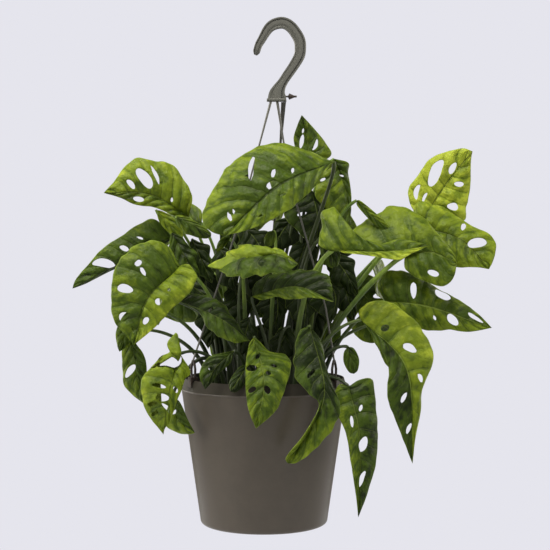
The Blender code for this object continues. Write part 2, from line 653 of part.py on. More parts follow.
        windows=((116, 228, 7, 3), (94, 206, 6, 2.6), (118, 206, 5, 2)),
        foot=(36, 46), lift=60, back=True, color=GREEN,
    ),
}

pot()
soil()
hook()
strand("hanger_strand_left", (6.8, -1.6), math.radians(210))
strand("hanger_strand_right", (13.2, -1.6), math.radians(330))
strand("hanger_strand_back", (19.6, 1.8), math.radians(90))
for leaf_name, leaf in LEAVES.items():
    petiole(leaf_name, leaf, *blade(leaf_name, leaf))
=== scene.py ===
# %% [markdown]
# # A monstera adansonii in a hanging pot
# The CAD model gives every leaf, stalk, strand and the pot a true place and size. This script
# dresses that model: each plain solid gets a finer piece that stands for it, with its own finish.
# It could be sculpted by hand, but leaves that come from a few margin points stay easy to change.

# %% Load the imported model
import math

import bpy
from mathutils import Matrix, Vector, noise


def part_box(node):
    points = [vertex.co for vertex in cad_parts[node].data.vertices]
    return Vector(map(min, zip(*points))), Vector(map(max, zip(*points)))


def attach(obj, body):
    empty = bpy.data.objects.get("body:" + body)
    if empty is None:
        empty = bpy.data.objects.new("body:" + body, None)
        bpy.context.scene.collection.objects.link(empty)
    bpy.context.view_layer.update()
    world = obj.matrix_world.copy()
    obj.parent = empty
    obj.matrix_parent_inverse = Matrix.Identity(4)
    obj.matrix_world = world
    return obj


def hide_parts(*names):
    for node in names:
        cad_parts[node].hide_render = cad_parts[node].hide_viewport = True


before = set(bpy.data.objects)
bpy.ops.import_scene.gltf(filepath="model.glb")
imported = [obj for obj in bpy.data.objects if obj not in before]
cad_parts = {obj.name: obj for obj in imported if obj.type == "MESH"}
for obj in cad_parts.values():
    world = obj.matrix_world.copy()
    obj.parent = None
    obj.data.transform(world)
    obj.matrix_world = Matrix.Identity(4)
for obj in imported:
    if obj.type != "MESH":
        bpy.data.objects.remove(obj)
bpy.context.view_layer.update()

MM = 0.001
pot_low, pot_high = (Vector(corner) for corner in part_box("pot"))
POT_FOOT = Vector(((pot_low.x + pot_high.x) / 2, (pot_low.y + pot_high.y) / 2, pot_low.z))


def place(across, depth, up):
    """A point in metres from millimetres measured off the middle of the pot's underside."""
    return POT_FOOT + Vector((across, depth, up)) * MM


# %% [markdown]
# ## Camera, floor and light
# The plant hangs in a bright studio in front of a pale wall. The camera stands level with the
# lower leaves, a good metre away, with a long lens that keeps the pot's sides nearly parallel.
# A world colour makes the pale backdrop. Big soft panels light the leaves from above, from both
# sides and weakly from the front, and two behind stand in for the light that a white wall sends
# back along the pot's edges. One big panel would be simpler, but with several the light from each
# side can be set on its own.

# %% Camera
EYE = Vector((11.0, -1330.0, 273.0))
EYE_DROP = math.radians(1.08)
PICTURE_WIDTH = 550.0
SENSOR = 36.0

lens = bpy.data.cameras.new("portrait_lens")
lens.sensor_width = SENSOR
lens.lens = SENSOR * -EYE.y / PICTURE_WIDTH
camera = bpy.data.objects.new("portrait_camera", lens)
camera.location = place(EYE.x, EYE.y, EYE.z)
camera.rotation_euler = (math.pi / 2 - EYE_DROP, 0.0, 0.0)
bpy.context.scene.collection.objects.link(camera)
bpy.context.scene.camera = camera
bpy.context.scene.view_settings.view_transform = "Standard"
print("lens in millimetres:", round(lens.lens, 1))

# %% Backdrop colour and floor
BACKDROP = (0.785, 0.783, 0.845)
ROOM_LIGHT = 0.18
WARM = (1.0, 0.955, 0.85)
FLOOR_COLOUR = (0.70, 0.72, 0.80)
FLOOR_ROUGHNESS = 0.8
FLOOR_SIZE = 2.2
FLOOR_BELOW = 0.30

world = bpy.data.worlds.new("pale_studio")
bpy.context.scene.world = world
world.use_nodes = True
sky = world.node_tree
sky.nodes.clear()
seen_by = sky.nodes.new("ShaderNodeLightPath")
shown = sky.nodes.new("ShaderNodeBackground")
shown.inputs["Color"].default_value = (*BACKDROP, 1)
lit = sky.nodes.new("ShaderNodeBackground")
lit.inputs["Color"].default_value = (*WARM, 1)
lit.inputs["Strength"].default_value = ROOM_LIGHT
either = sky.nodes.new("ShaderNodeMixShader")
out = sky.nodes.new("ShaderNodeOutputWorld")
sky.links.new(seen_by.outputs["Is Camera Ray"], either.inputs["Fac"])
sky.links.new(lit.outputs[0], either.inputs[1])
sky.links.new(shown.outputs[0], either.inputs[2])
sky.links.new(either.outputs[0], out.inputs["Surface"])

bpy.ops.object.select_all(action="DESELECT")
bpy.ops.mesh.primitive_plane_add(size=FLOOR_SIZE, location=POT_FOOT - Vector((0, 0, FLOOR_BELOW)))
floor = bpy.context.object
floor.name = "studio_floor"
pale = bpy.data.materials.new("pale_floor")
pale.use_nodes = True
pale_shader = pale.node_tree.nodes["Principled BSDF"]
pale_shader.inputs["Base Color"].default_value = (*FLOOR_COLOUR, 1)
pale_shader.inputs["Roughness"].default_value = FLOOR_ROUGHNESS
floor.data.materials.append(pale)
print("floor lies", FLOOR_BELOW, "metres under the pot")

# %% Soft lights
PLANT_MIDDLE = place(0, 0, 220)
LIGHTS = (  # name, place and width in metres, strength in watts
    ("top_light", (-0.25, -0.45, 1.15), 0.9, 28),
    ("left_light", (-1.6, -0.45, 0.1), 0.9, 13),
    ("right_light", (1.6, -0.2, 0.2), 0.9, 8),
    ("front_light", (0.2, -1.9, 0.3), 1.2, 5),
    ("back_left_light", (-1.35, 1.25, 0.1), 1.3, 15),
    ("back_right_light", (1.35, 1.25, 0.1), 1.3, 12),
)

for name, spot, width, watts in LIGHTS:
    panel = bpy.data.lights.new(name, "AREA")
    panel.shape = "RECTANGLE"
    panel.size = panel.size_y = width
    panel.energy = watts
    panel.color = WARM
    lamp = bpy.data.objects.new(name, panel)
    lamp.location = spot
    lamp.rotation_euler = (PLANT_MIDDLE - Vector(spot)).to_track_quat("-Z", "Y").to_euler()
    bpy.context.scene.collection.objects.link(lamp)
print("soft lights:", len(LIGHTS))

# %% [markdown]
# ## Helpers for finishes
# Every finish here is made of nodes: a few waves, noises and masks that change colour, roughness
# and height. It could be clicked together in the node editor. Here a few small helpers keep such
# recipes short: one adds a node and fills its sockets, and the others do a sum, a soft step, a
# blend of two colours and a noise. The last one gives a finish its colour, roughness and relief.


# %% Node helpers
def blank_finish(name):
    made = bpy.data.materials.new(name)
    made.use_nodes = True
    tree = made.node_tree
    return made, tree, tree.nodes["Principled BSDF"]


def add(tree, kind, inputs=None, **settings):
    made = tree.nodes.new(kind)
    for key, value in settings.items():
        setattr(made, key, value)
    for key, value in (inputs or {}).items():
        if isinstance(value, bpy.types.NodeSocket):
            tree.links.new(value, made.inputs[key])
        else:
            made.inputs[key].default_value = value
    return made


def sum_of(tree, operation, first, second=0.0, third=0.0):
    return add(
        tree, "ShaderNodeMath", {0: first, 1: second, 2: third}, operation=operation
    ).outputs[0]


def scaled(tree, value, factor, offset=0.0):
    return sum_of(tree, "MULTIPLY_ADD", value, factor, offset)


def ramp(tree, value, low, high, out_low=0.0, out_high=1.0):
    """A smooth step from one value to another."""
    return add(
        tree,
        "ShaderNodeMapRange",
        {"Value": value, "From Min": low, "From Max": high, "To Min": out_low, "To Max": out_high},
        interpolation_type="SMOOTHSTEP",
    ).outputs["Result"]


def blend(tree, share, first, second):
    made = tree.nodes.new("ShaderNodeMix")
    made.data_type = "RGBA"
    sockets = {"Factor": share, "A": first, "B": second}
    wanted = {"Factor": "VALUE", "A": "RGBA", "B": "RGBA"}
    for socket in made.inputs:
        if socket.name in sockets and socket.type == wanted[socket.name]:
            value = sockets[socket.name]
            if isinstance(value, bpy.types.NodeSocket):
                tree.links.new(value, socket)
            else:
                socket.default_value = value if socket.type == "VALUE" else (*value, 1)
    return next(socket for socket in made.outputs if socket.type == "RGBA")


def grain(tree, where, scale, detail=4.0, roughness=0.55):
    return add(
        tree,
        "ShaderNodeTexNoise",
        {"Vector": where, "Scale": scale, "Detail": detail, "Roughness": roughness},
    ).outputs[0]


def dress(tree, shader, colour, matt, relief, strength, distance):
    """Gives a finish its colour, its roughness and its relief."""
    tree.links.new(colour, shader.inputs["Base Color"])
    tree.links.new(matt, shader.inputs["Roughness"])
    bump = {"Height": relief, "Strength": strength, "Distance": distance}
    tree.links.new(add(tree, "ShaderNodeBump", bump).outputs[0], shader.inputs["Normal"])


print("helpers for finishes ready")

# %% [markdown]
# ## The pot
# A grower's pot is injection-moulded in thin grey-brown plastic: a straight tapered wall, a thin
# raised seam line and a lip that slopes in. It could be cut from a cylinder, but a drawn outline
# that is spun round the axis gives wall, seam and lip in one go.

# %% Plastic finish
DRAWN_UP = (1, 1, 0.12)
GRIT_STRENGTH = 0.04
GRIT_HEIGHT = 0.00008


def plastic(name, light, dark, rough, gloss=0.5):
    made, tree, shader = blank_finish(name)
    shader.inputs["Specular IOR Level"].default_value = gloss
    where = add(tree, "ShaderNodeTexCoord").outputs["Object"]
    streaks = add(tree, "ShaderNodeMapping", {"Vector": where, "Scale": DRAWN_UP}).outputs[0]
    cloud = grain(tree, streaks, 9, 3)
    grit = grain(tree, where, 900, 3, 0.7)
    dust = grain(tree, where, 60, 5, 0.65)
    tone = scaled(tree, dust, 0.35, scaled(tree, cloud, 0.65))
    colour = blend(tree, ramp(tree, tone, 0.35, 0.68), dark, light)
    matt = ramp(tree, dust, 0.3, 0.75, rough - 0.05, rough + 0.07)
    dress(tree, shader, colour, matt, grit, GRIT_STRENGTH, GRIT_HEIGHT)
    return made


pot_plastic = plastic("pot_plastic", (0.086, 0.071, 0.055), (0.065, 0.053, 0.040), 0.36)
# The lip is the pot's own plastic painted darker: painted shade from the leaves over it.
shaded_lip_plastic = plastic("shaded_lip_plastic", (0.046, 0.042, 0.033), (0.034, 0.030, 0.024), 0.60, 0.12)
# The seam is the pot's own plastic painted a little lighter: a painted highlight on the bead.
highlit_seam_plastic = plastic("highlit_seam_plastic", (0.092, 0.080, 0.066), (0.066, 0.056, 0.046), 0.42)
hanger_plastic = plastic("hanger_plastic", (0.118, 0.120, 0.108), (0.092, 0.094, 0.085), 0.34)
cord_plastic = plastic("cord_plastic", (0.085, 0.086, 0.078), (0.060, 0.060, 0.055), 0.38)
clip_plastic = plastic("clip_plastic", (0.040, 0.024, 0.018), (0.016, 0.010, 0.009), 0.45)
print("plastic finishes made")

# %% Starting a piece
def fresh(name, add_primitive, **settings):
    """A new primitive with nothing else selected."""
    bpy.ops.object.select_all(action="DESELECT")
    add_primitive(**settings)
    piece = bpy.context.object
    piece.name = piece.data.name = name
    return piece


def edit_all():
    bpy.ops.object.mode_set(mode="EDIT")
    bpy.ops.mesh.select_all(action="SELECT")


def end_edit():
    bpy.ops.object.mode_set(mode="OBJECT")


print("helpers for pieces ready")

# %% Spinning an outline
MERGE_WITHIN = 0.00001
ROUNDED_UP_TO = math.radians(40)


def outline_object(name, points):
    """A chain of edges, made from a tiny plane that is merged to a point and extruded along."""
    piece = fresh(name, bpy.ops.mesh.primitive_plane_add, size=0.001, location=(0, 0, 0))
    edit_all()
    bpy.ops.mesh.merge(type="CENTER")
    bpy.ops.transform.translate(value=points[0])
    for before, after in zip(points, points[1:]):
        bpy.ops.mesh.extrude_vertices_move(TRANSFORM_OT_translate={"value": after - before})
    end_edit()
    return piece


def spin_outline(name, outline, steps):
    """A closed piece of revolution round the pot's axis. The outline is (radius, height) pairs."""
    points = [place(radius, 0, height) for radius, height in outline]
    piece = outline_object(name, points)
    edit_all()
    bpy.ops.mesh.spin(steps=steps, angle=math.tau, center=POT_FOOT, axis=(0, 0, 1))
    bpy.ops.mesh.select_all(action="SELECT")
    bpy.ops.mesh.remove_doubles(threshold=MERGE_WITHIN)
    bpy.ops.mesh.normals_make_consistent(inside=False)
    end_edit()
    bpy.ops.object.shade_smooth_by_angle(angle=ROUNDED_UP_TO)
    return piece


print("points closer than", MERGE_WITHIN, "metres are merged")

# %% The pot's outline
POT_BASE_RADIUS = 63.0
POT_SEAM_RADIUS = 82.5
POT_TOP_RADIUS = 79.8
POT_SEAM_HEIGHT = 135.0
POT_HEIGHT = 146.0
POT_WALL = 1.6
POT_CORNER = 4.0
POT_SIDES = 128
MIDDLE_HEIGHT = 60.0
SEAM_BULGE = 0.55
UNDERSIDE_RISE = 0.6


def wall_radius(height):
    share = height / POT_SEAM_HEIGHT
    return POT_BASE_RADIUS + (POT_SEAM_RADIUS - POT_BASE_RADIUS) * share


pot_outline = [
    (0.0, UNDERSIDE_RISE),
    (POT_BASE_RADIUS - 9.0, UNDERSIDE_RISE),
    (POT_BASE_RADIUS - 8.0, 0.0),
]
corner_middle = wall_radius(POT_CORNER) - POT_CORNER
for turn in range(0, 91, 15):
    angle = math.radians(turn)
    pot_outline.append(
        (corner_middle + POT_CORNER * math.sin(angle), POT_CORNER * (1 - math.cos(angle)))
    )
pot_outline += [
    (wall_radius(MIDDLE_HEIGHT), MIDDLE_HEIGHT),
    (wall_radius(POT_SEAM_HEIGHT - 1.2), POT_SEAM_HEIGHT - 1.2),
    (POT_SEAM_RADIUS + SEAM_BULGE, POT_SEAM_HEIGHT - 0.6),
    (POT_SEAM_RADIUS + SEAM_BULGE, POT_SEAM_HEIGHT + 0.3),
    (POT_SEAM_RADIUS + 0.1, POT_SEAM_HEIGHT + 0.9),
    (POT_TOP_RADIUS + 0.4, POT_HEIGHT - 1.2),
    (POT_TOP_RADIUS, POT_HEIGHT - 0.3),
    (POT_TOP_RADIUS - 0.7, POT_HEIGHT),
    (POT_TOP_RADIUS - POT_WALL, POT_HEIGHT - 0.6),
    (POT_SEAM_RADIUS - POT_WALL, POT_SEAM_HEIGHT),
    (wall_radius(MIDDLE_HEIGHT) - POT_WALL, MIDDLE_HEIGHT),
    (wall_radius(POT_CORNER) - POT_WALL, POT_CORNER),
    (POT_BASE_RADIUS - POT_CORNER - 1.0, POT_WALL + 0.4),
    (0.0, POT_WALL),
]
pot = spin_outline("moulded_pot", pot_outline, POT_SIDES)
for finish in (pot_plastic, shaded_lip_plastic, highlit_seam_plastic):
    pot.data.materials.append(finish)
# Faces above the seam take the lip's painted shade, and the seam band its painted highlight.
for face in pot.data.polygons:
    above = (face.center.z - POT_FOOT.z) / MM - POT_SEAM_HEIGHT
    face.material_index = 2 if abs(above) < 0.5 else int(above > 0)
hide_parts("pot")
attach(pot, "root")
print("pot faces:", len(pot.data.polygons))

# %% [markdown]
# ## The soil
# Dark potting soil lies a finger's width under the lip. It is a rough heap of peat crumbs, so the
# top is a finely divided disc that is lifted by noise and given a crumbly, matt finish. Thousands
# of separate crumbs would look the same from here and weigh far more.

# %% Soil
SOIL_TOP = 131.0
SOIL_GAP = POT_WALL + 0.3
SOIL_BOTTOM = POT_WALL + 0.4
SOIL_SIDES = 96
BIG_LUMP, SMALL_LUMP, LUMP_DROP = 1.6, 1.1, 1.4
BIG_PITCH, SMALL_PITCH = 90, 330

soil_outline = [(0.0, SOIL_BOTTOM), (POT_BASE_RADIUS - POT_CORNER - 2.5, SOIL_BOTTOM)]
soil_outline += [(wall_radius(up) - SOIL_GAP, up) for up in (30.0, 80.0, SOIL_TOP - 3)]
soil_outline += [(radius, SOIL_TOP - 0.4) for radius in range(76, 0, -2)]
soil_outline.append((0.0, SOIL_TOP - 0.4))
soil = spin_outline("potting_soil", soil_outline, SOIL_SIDES)
for point in soil.data.vertices:
    up = (point.co.z - POT_FOOT.z) / MM
    if up > SOIL_TOP - 2:
        lump = noise.noise(point.co * BIG_PITCH) * BIG_LUMP
        lump += noise.noise(point.co * SMALL_PITCH) * SMALL_LUMP
        point.co.z += (lump - LUMP_DROP) * MM
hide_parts("soil")
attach(soil, "root")
print("soil faces:", len(soil.data.polygons))

# %% Peat finish
crumbs, tree, shader = blank_finish("peat_crumbs")
where = add(tree, "ShaderNodeTexCoord").outputs["Object"]
lumps = add(tree, "ShaderNodeTexVoronoi", {"Vector": where, "Scale": 260.0}).outputs["Distance"]
fine = grain(tree, where, 420, 6, 0.7)
bits = ramp(tree, grain(tree, where, 170, 3), 0.62, 0.7)
earth = blend(tree, fine, (0.006, 0.004, 0.003), (0.050, 0.031, 0.020))
colour = blend(tree, bits, earth, (0.16, 0.105, 0.05))
matt = ramp(tree, fine, 0.2, 0.8, 0.85, 1.0)
dress(tree, shader, colour, matt, sum_of(tree, "ADD", lumps, fine), 0.9, 0.002)
soil.data.materials.append(crumbs)
print("peat finish made")

# %% [markdown]
# ## The hook
# The hook is a grey plastic moulding, thick at the top of its curve and thin at the tip, with a
# raised rim on both edges and a thinner web between them. A thin plate lies under its foot, and a
# small barbed pin sticks out beside it. It could be a bent curve with a round profile, but only a
# bar that is swept with its own stepped section shows the two rims.

# %% Sweeping a section
def round_section(count):
    turns = [math.tau * index / count for index in range(count)]
    return [(math.cos(turn), math.sin(turn)) for turn in turns]


def swept(name, stations, section):
    """A bar through stations of (centre, half width, half depth), extruded ring by ring."""
    ring = {"vertices": len(section), "radius": 1.0, "fill_type": "NGON"}
    piece = fresh(name, bpy.ops.mesh.primitive_circle_add, **ring)
    edit_all()
    for _ in range(len(stations) - 1):
        bpy.ops.mesh.extrude_region_move(TRANSFORM_OT_translate={"value": (0, 0, 1)})
    end_edit()
    rings = [[] for _ in stations]
    for point in piece.data.vertices:
        turn = math.atan2(point.co.y, point.co.x) % math.tau
        rings[round(point.co.z)].append((turn, point.index))
    for (centre, wide, deep), around in zip(stations, rings):
        for (_, index), (a, b) in zip(sorted(around), section):
            piece.data.vertices[index].co = centre + wide * a + deep * b
    edit_all()
    bpy.ops.mesh.normals_make_consistent(inside=False)
    end_edit()
    bpy.ops.object.shade_smooth_by_angle(angle=math.radians(35))
    return piece


ROUND_SECTION = round_section(12)
print("a round bar has", len(ROUND_SECTION), "sides")

# %% A smooth path through points
PATH_STEPS = 16
path_store = {}


def path_table(points):
    """A smooth curve through the points, kept so that each is worked out only once."""
    if points in path_store:
        return path_store[points]
    corners = [Vector(point) for point in points]
    ends = [corners[0] * 2 - corners[1]] + corners + [corners[-1] * 2 - corners[-2]]
    spots = []
    for index in range(len(corners) - 1):
        a, b, c, d = ends[index : index + 4]
        for step in range(PATH_STEPS):
            t = step / PATH_STEPS
            spots.append(
                0.5 * (b * 2 + (c - a) * t + (a * 2 - b * 5 + c * 4 - d) * t * t
                       + (b * 3 - a - c * 3 + d) * t**3)
            )
    spots.append(corners[-1])
    reach = [0.0]
    for before, after in zip(spots, spots[1:]):
        reach.append(reach[-1] + (after - before).length)

    def at(share):
        goal = min(max(share, 0.0), 1.0) * reach[-1]
        low, high = 0, len(reach) - 1
        while high - low > 1:
            half = (low + high) // 2
            low, high = (half, high) if reach[half] <= goal else (low, half)
        span = reach[high] - reach[low]
        return spots[low].lerp(spots[high], (goal - reach[low]) / span if span else 0.0)

    path_store[points] = at
    return at


def path(points, share):
    """The point a share of the way along a smooth curve through the points."""
    return path_table(tuple(tuple(point) for point in points))(share)


print("paths are split into", PATH_STEPS, "steps between points")

# %% The hook's line and section
HOOK_FOOT = 421.0
HOOK_DEPTH = 7.0
HOOK_STEPS = 72
UPRIGHT_FROM = 0.93
HOOK_LINE = (  # across, up and width
    (-8.6, 467.5, 4.0), (-7.5, 470.5, 6.8), (-5.2, 477.5, 7.4), (-2.0, 483.0, 8.0),
    (3.6, 492.4, 9.4), (9.0, 497.2, 10.4), (16.5, 499.3, 11.0), (22.4, 498.2, 11.0),
    (28.0, 494.0, 11.0), (33.0, 487.0, 11.2), (35.6, 481.5, 11.4), (36.3, 476.0, 11.4),
    (35.5, 467.0, 11.0), (30.0, 457.0, 10.0), (23.4, 447.4, 9.5), (18.6, 440.0, 9.6),
    (15.2, 434.0, 12.6), (13.2, 428.0, 17.0), (13.0, HOOK_FOOT, 19.0),
)
FRONT_OF_RIM = (  # a shallow groove near the outer edge and a deep one near the inner edge
    (1.0, 0.0), (1.0, 0.7), (0.92, 0.93), (0.74, 0.97), (0.66, 0.86), (0.54, 0.86), (0.44, 0.94),
    (0.0, 1.0), (-0.44, 0.94), (-0.52, 0.55), (-0.64, 0.55), (-0.72, 0.96), (-0.92, 0.93),
    (-1.0, 0.7), (-1.0, 0.0),
)
RIM_SECTION = FRONT_OF_RIM + tuple((a, -b) for a, b in reversed(FRONT_OF_RIM[1:-1]))

hook_stations = []
for step in range(HOOK_STEPS + 1):
    share = step / HOOK_STEPS
    x, z, width = path(HOOK_LINE, share)
    before = path(HOOK_LINE, share - 0.01)
    after = path(HOOK_LINE, share + 0.01)
    along = Vector((after.x - before.x, 0, after.y - before.y)).normalized()
    if share > UPRIGHT_FROM:
        turned = (share - UPRIGHT_FROM) / (1 - UPRIGHT_FROM)
        along = along.lerp(Vector((0, 0, -1)), turned).normalized()
    round_side = min(1.0, 0.75 + share * 10)
    round_face = min(1.0, 0.55 + share * 14)
    wide = Vector((0, 1, 0)).cross(along) * (width / 2 * MM)
    deep = Vector((0, HOOK_DEPTH / 2 * round_face * MM, 0))
    hook_stations.append((place(x, 0, z), wide * round_side, deep))
hook = swept("moulded_hook", hook_stations, RIM_SECTION)
hook.data.materials.append(hanger_plastic)
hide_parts("hanger_hook")
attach(hook, "root")
print("hook stations:", len(hook_stations))

# %% The plate under the hook's foot
PLATE_SIZE = Vector((19.6, 8.6, 2.6))
PLATE_EDGE = 0.0007

spot = place(12.5, 0, HOOK_FOOT + 1.5)
plate = fresh("foot_plate", bpy.ops.mesh.primitive_cube_add, size=1.0, location=spot)
plate.scale = PLATE_SIZE * MM
bpy.ops.object.transform_apply(location=True, rotation=False, scale=True)
edit_all()
bpy.ops.mesh.bevel(offset=PLATE_EDGE, segments=3, affect="EDGES")
end_edit()
plate.data.materials.append(hanger_plastic)
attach(plate, "root")
print("plate in millimetres:", tuple(PLATE_SIZE))

# %% The barbed pin in the hook's foot
PIN_LINE = ((20.5, 0.9), (24.0, 0.9), (25.2, 3.2), (27.0, 2.4), (30.0, 1.1), (32.8, 0.9))
PIN_HEIGHT = 426.0
BARB_DEPTH = 1.6

pin_stations = []
for x, tall in PIN_LINE:
    deep = min(tall, BARB_DEPTH)
    pin_stations.append(
        (place(x, 0, PIN_HEIGHT), Vector((0, 0, tall * MM)), Vector((0, deep * MM, 0)))
    )
pin = swept("foot_pin", pin_stations, round_section(10))
pin.data.materials.append(clip_plastic)
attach(pin, "root")
print("pin made")

# %% [markdown]
# ## The three strands
# Three flat plastic strands leave the hook's foot and grip the pot's lip, a third of a turn
# apart. Each is wide where it leaves the foot, thins within a few centimetres and ends in a
# forked foot on a clip. They are stiff and run nearly straight, though leaves push two of them a
# few millimetres aside. A bevelled curve would do for a cord, but a swept bar can change its width.

# %% Clips
CLIP_WIDTH = 7.2
CLIP_EDGE = 0.0005
CLIP_OUTLINE = (  # outward from the lip's rim and up from its top
    (3.6, -6.5), (3.6, 3.6), (-4.6, 3.6), (-4.6, -7.0),
    (-2.4, -7.0), (-2.4, 0.5), (1.0, 0.5), (2.9, -6.5),
)


def clip(name, bearing):
    """The hooked clip over the lip: a flat outline drawn by extruding and given its width."""
    outward = Vector((math.cos(bearing), math.sin(bearing), 0))
    sideways = Vector((0, 0, 1)).cross(outward)
    points = []
    for out, up in CLIP_OUTLINE:
        flat = outward * (POT_TOP_RADIUS + out) - sideways * (CLIP_WIDTH / 2)
        points.append(place(flat.x, flat.y, POT_HEIGHT + up))
    piece = outline_object(name, points)
    edit_all()
    bpy.ops.mesh.edge_face_add()
    bpy.ops.mesh.extrude_region_move(TRANSFORM_OT_translate={"value": sideways * CLIP_WIDTH * MM})
    bpy.ops.mesh.select_all(action="SELECT")
    bpy.ops.mesh.normals_make_consistent(inside=False)
    bpy.ops.mesh.bevel(offset=CLIP_EDGE, segments=2, affect="EDGES")
    end_edit()
    piece.data.materials.append(clip_plastic)
    return piece


print("clip width in millimetres:", CLIP_WIDTH)

# %% Strands
STRAND_GAP = 0.3
STRAND_STEPS = 40
STRAND_WIDTH, STRAND_HALF_DEPTH = 2.5, 0.85
TOP_EXTRA, TOP_SHARE, TOP_CURVE = 2.4, 0.14, 0.8
FORK_TOP, FORK_LENGTH = 20.0, 17.5
FORK_SPREADS = ((0, 0.5), (0.25, 2.8), (0.5, 4.2), (0.8, 3.8), (1, 2.0))
FORK_HALF_WIDTH, FORK_HALF_DEPTH = 1.4, 1.2


def joined(name, pieces):
    bpy.ops.object.select_all(action="DESELECT")
    for piece in pieces:
        piece.select_set(True)
    bpy.context.view_layer.objects.active = pieces[0]
    bpy.ops.object.join()
    pieces[0].name = pieces[0].data.name = name
    return pieces[0]


def strand(name, node, top_x, top_y, degrees, sway):
    """Sway tells from the hook down how many millimetres to the right leaves push the strand."""
    bearing = math.radians(degrees)
    outward = Vector((math.cos(bearing), math.sin(bearing), 0))
    sideways = Vector((0, 0, 1)).cross(outward)
    start = Vector((top_x, top_y, HOOK_FOOT - STRAND_GAP))
    end = outward * (POT_TOP_RADIUS - 0.8) + Vector((0, 0, POT_HEIGHT + FORK_TOP))
    stations = []
    for step in range(STRAND_STEPS + 1):
        share = step / STRAND_STEPS
        width = STRAND_WIDTH + TOP_EXTRA * max(0.0, 1 - share / TOP_SHARE) ** TOP_CURVE
        spot = start.lerp(end, share) + Vector((path(sway, share).y, 0, 0))
        wide, deep = sideways * (width / 2 * MM), outward * (-STRAND_HALF_DEPTH * MM)
        stations.append((place(*spot), wide, deep))
    parts = [swept(name, stations, ROUND_SECTION), clip(name + "_clip", bearing)]
    parts[0].data.materials.append(cord_plastic)
    for side in (-1, 1):
        leg = []
        for share, spread in FORK_SPREADS:
            foot = end - Vector((0, 0, FORK_LENGTH))
            spot = end.lerp(foot, share) + sideways * (side * spread)
            wide, deep = sideways * (FORK_HALF_WIDTH * MM), outward * (-FORK_HALF_DEPTH * MM)
            leg.append((place(*spot), wide, deep))
        fork = swept(name + "_fork", leg, ROUND_SECTION)
        fork.data.materials.append(clip_plastic)
        parts.append(fork)
    piece = joined(name, parts)
    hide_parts(node)
    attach(piece, "root")


# The middle numbers are the millimetres. The first ones only keep the points apart.
LEFT_SWAY = ((0, 0, 0), (0.15, 3.4, 0), (0.45, 4.0, 0), (1, 0, 0))
RIGHT_SWAY = ((0, 0, 0), (0.15, -4.6, 0), (0.45, -1.0, 0), (0.75, 3.0, 0), (1, 0, 0))
BACK_SWAY = ((0, 0, 0), (0.5, 0, 0), (1, 0, 0))
strand("left_strand", "hanger_strand_left", 6.8, -1.6, 210, LEFT_SWAY)
strand("right_strand", "hanger_strand_right", 13.2, -1.6, 330, RIGHT_SWAY)
strand("back_strand", "hanger_strand_back", 19.6, 1.8, 90, BACK_SWAY)
print("strands and clips made")

# %% [markdown]
# ## How a leaf is laid out
# A monstera leaf is an oval on a long stalk, with a row of oval windows between its side veins.
# Each leaf here is described by its midrib, its two margins and its windows, all as (across, up,
# depth) in millimetres as they show to someone in front of the pot. A flat sheet with one generic
# outline was the other choice, but real leaves each twist and hang in their own way.


# %% From the view to the room
def seen(x, z, y):
    """The place at depth y that shows at (x, z) from the eye, which is exact at depth 0."""
    share = (y - EYE.y) / -EYE.y
    return Vector((EYE.x + (x - EYE.x) * share, y, EYE.z + (z - EYE.z) * share))


def shown_at(point):
    """Where a place shows from the eye: the reverse of seen."""
    share = (point.y - EYE.y) / -EYE.y
    return Vector((EYE.x + (point.x - EYE.x) / share, EYE.z + (point.z - EYE.z) / share))


print("the eye stands", round(-EYE.y), "millimetres in front of the pot")

# %% [markdown]
# ## Leaf finish
# The top of a leaf is deep green and half glossy. Its midrib may be pale, or dark with shade
# painted into its groove. Faint side veins branch from it, the blade swells between them with
# shade painted into the grooves along the veins, and a thin light line runs along the margin.
# Old leaves are dark and young ones yellow-green, and each leaf half's tone also paints how lit
# or shaded that half is. A painted picture would suit one leaf only. This recipe reads the place
# along and across the leaf and a tone, which is 0 for dark, 1 for yellow-green and below 0 for
# the leaves inside with their painted shade, so it serves them all. The stalks are smooth and
# green, with shade painted dark on them near the soil.

# %% Where a point lies on a leaf
VEINS = 9.0
VEIN_SWEEP = 1.35
VEIN_WOBBLE = 0.5


def leaf_places(tree, where):
    """Sockets: from right to left, from midrib to margin, and along the row of side veins."""
    layout = add(tree, "ShaderNodeUVMap", uv_map="plan").outputs[0]
    plan = add(tree, "ShaderNodeSeparateXYZ", {"Vector": layout})
    along, side = plan.outputs[0], plan.outputs[1]
    out = sum_of(tree, "ABSOLUTE", scaled(tree, side, 2.0, -1.0))
    wobble = scaled(tree, grain(tree, where, 38, 3), VEIN_WOBBLE, -VEIN_WOBBLE / 2)
    row = sum_of(tree, "MULTIPLY_ADD", along, VEINS, scaled(tree, out, -VEIN_SWEEP))
    return side, out, sum_of(tree, "ADD", row, wobble)


def swell(tree, row, veins_per_row):
    """A wave that is 0 on each vein and 1 half way to the next."""
    turned = scaled(tree, row, veins_per_row * math.pi)
    return sum_of(tree, "ABSOLUTE", sum_of(tree, "SINE", turned))


print("side veins on a long leaf:", VEINS)

# %% Leaf colours
UPPER_TONES = (
    (0.009, 0.019, 0.002), (0.050, 0.088, 0.006), (0.160, 0.225, 0.012), (0.38, 0.46, 0.036),
)
UNDER_TONES = (
    (0.028, 0.046, 0.008), (0.094, 0.140, 0.022), (0.195, 0.265, 0.042), (0.35, 0.43, 0.070),
)
# Painted shade in the midrib's groove, for leaves with a low rib.
MIDRIB_GROOVE_SHADE = (0.020, 0.036, 0.004)
DRAWN_ALONG_VEINS = (1.7, 3.4, 9.0)
LEAF_GLOSS = 0.17
LEAF_RELIEF = 0.9
LEAF_RELIEF_HEIGHT = 0.0017


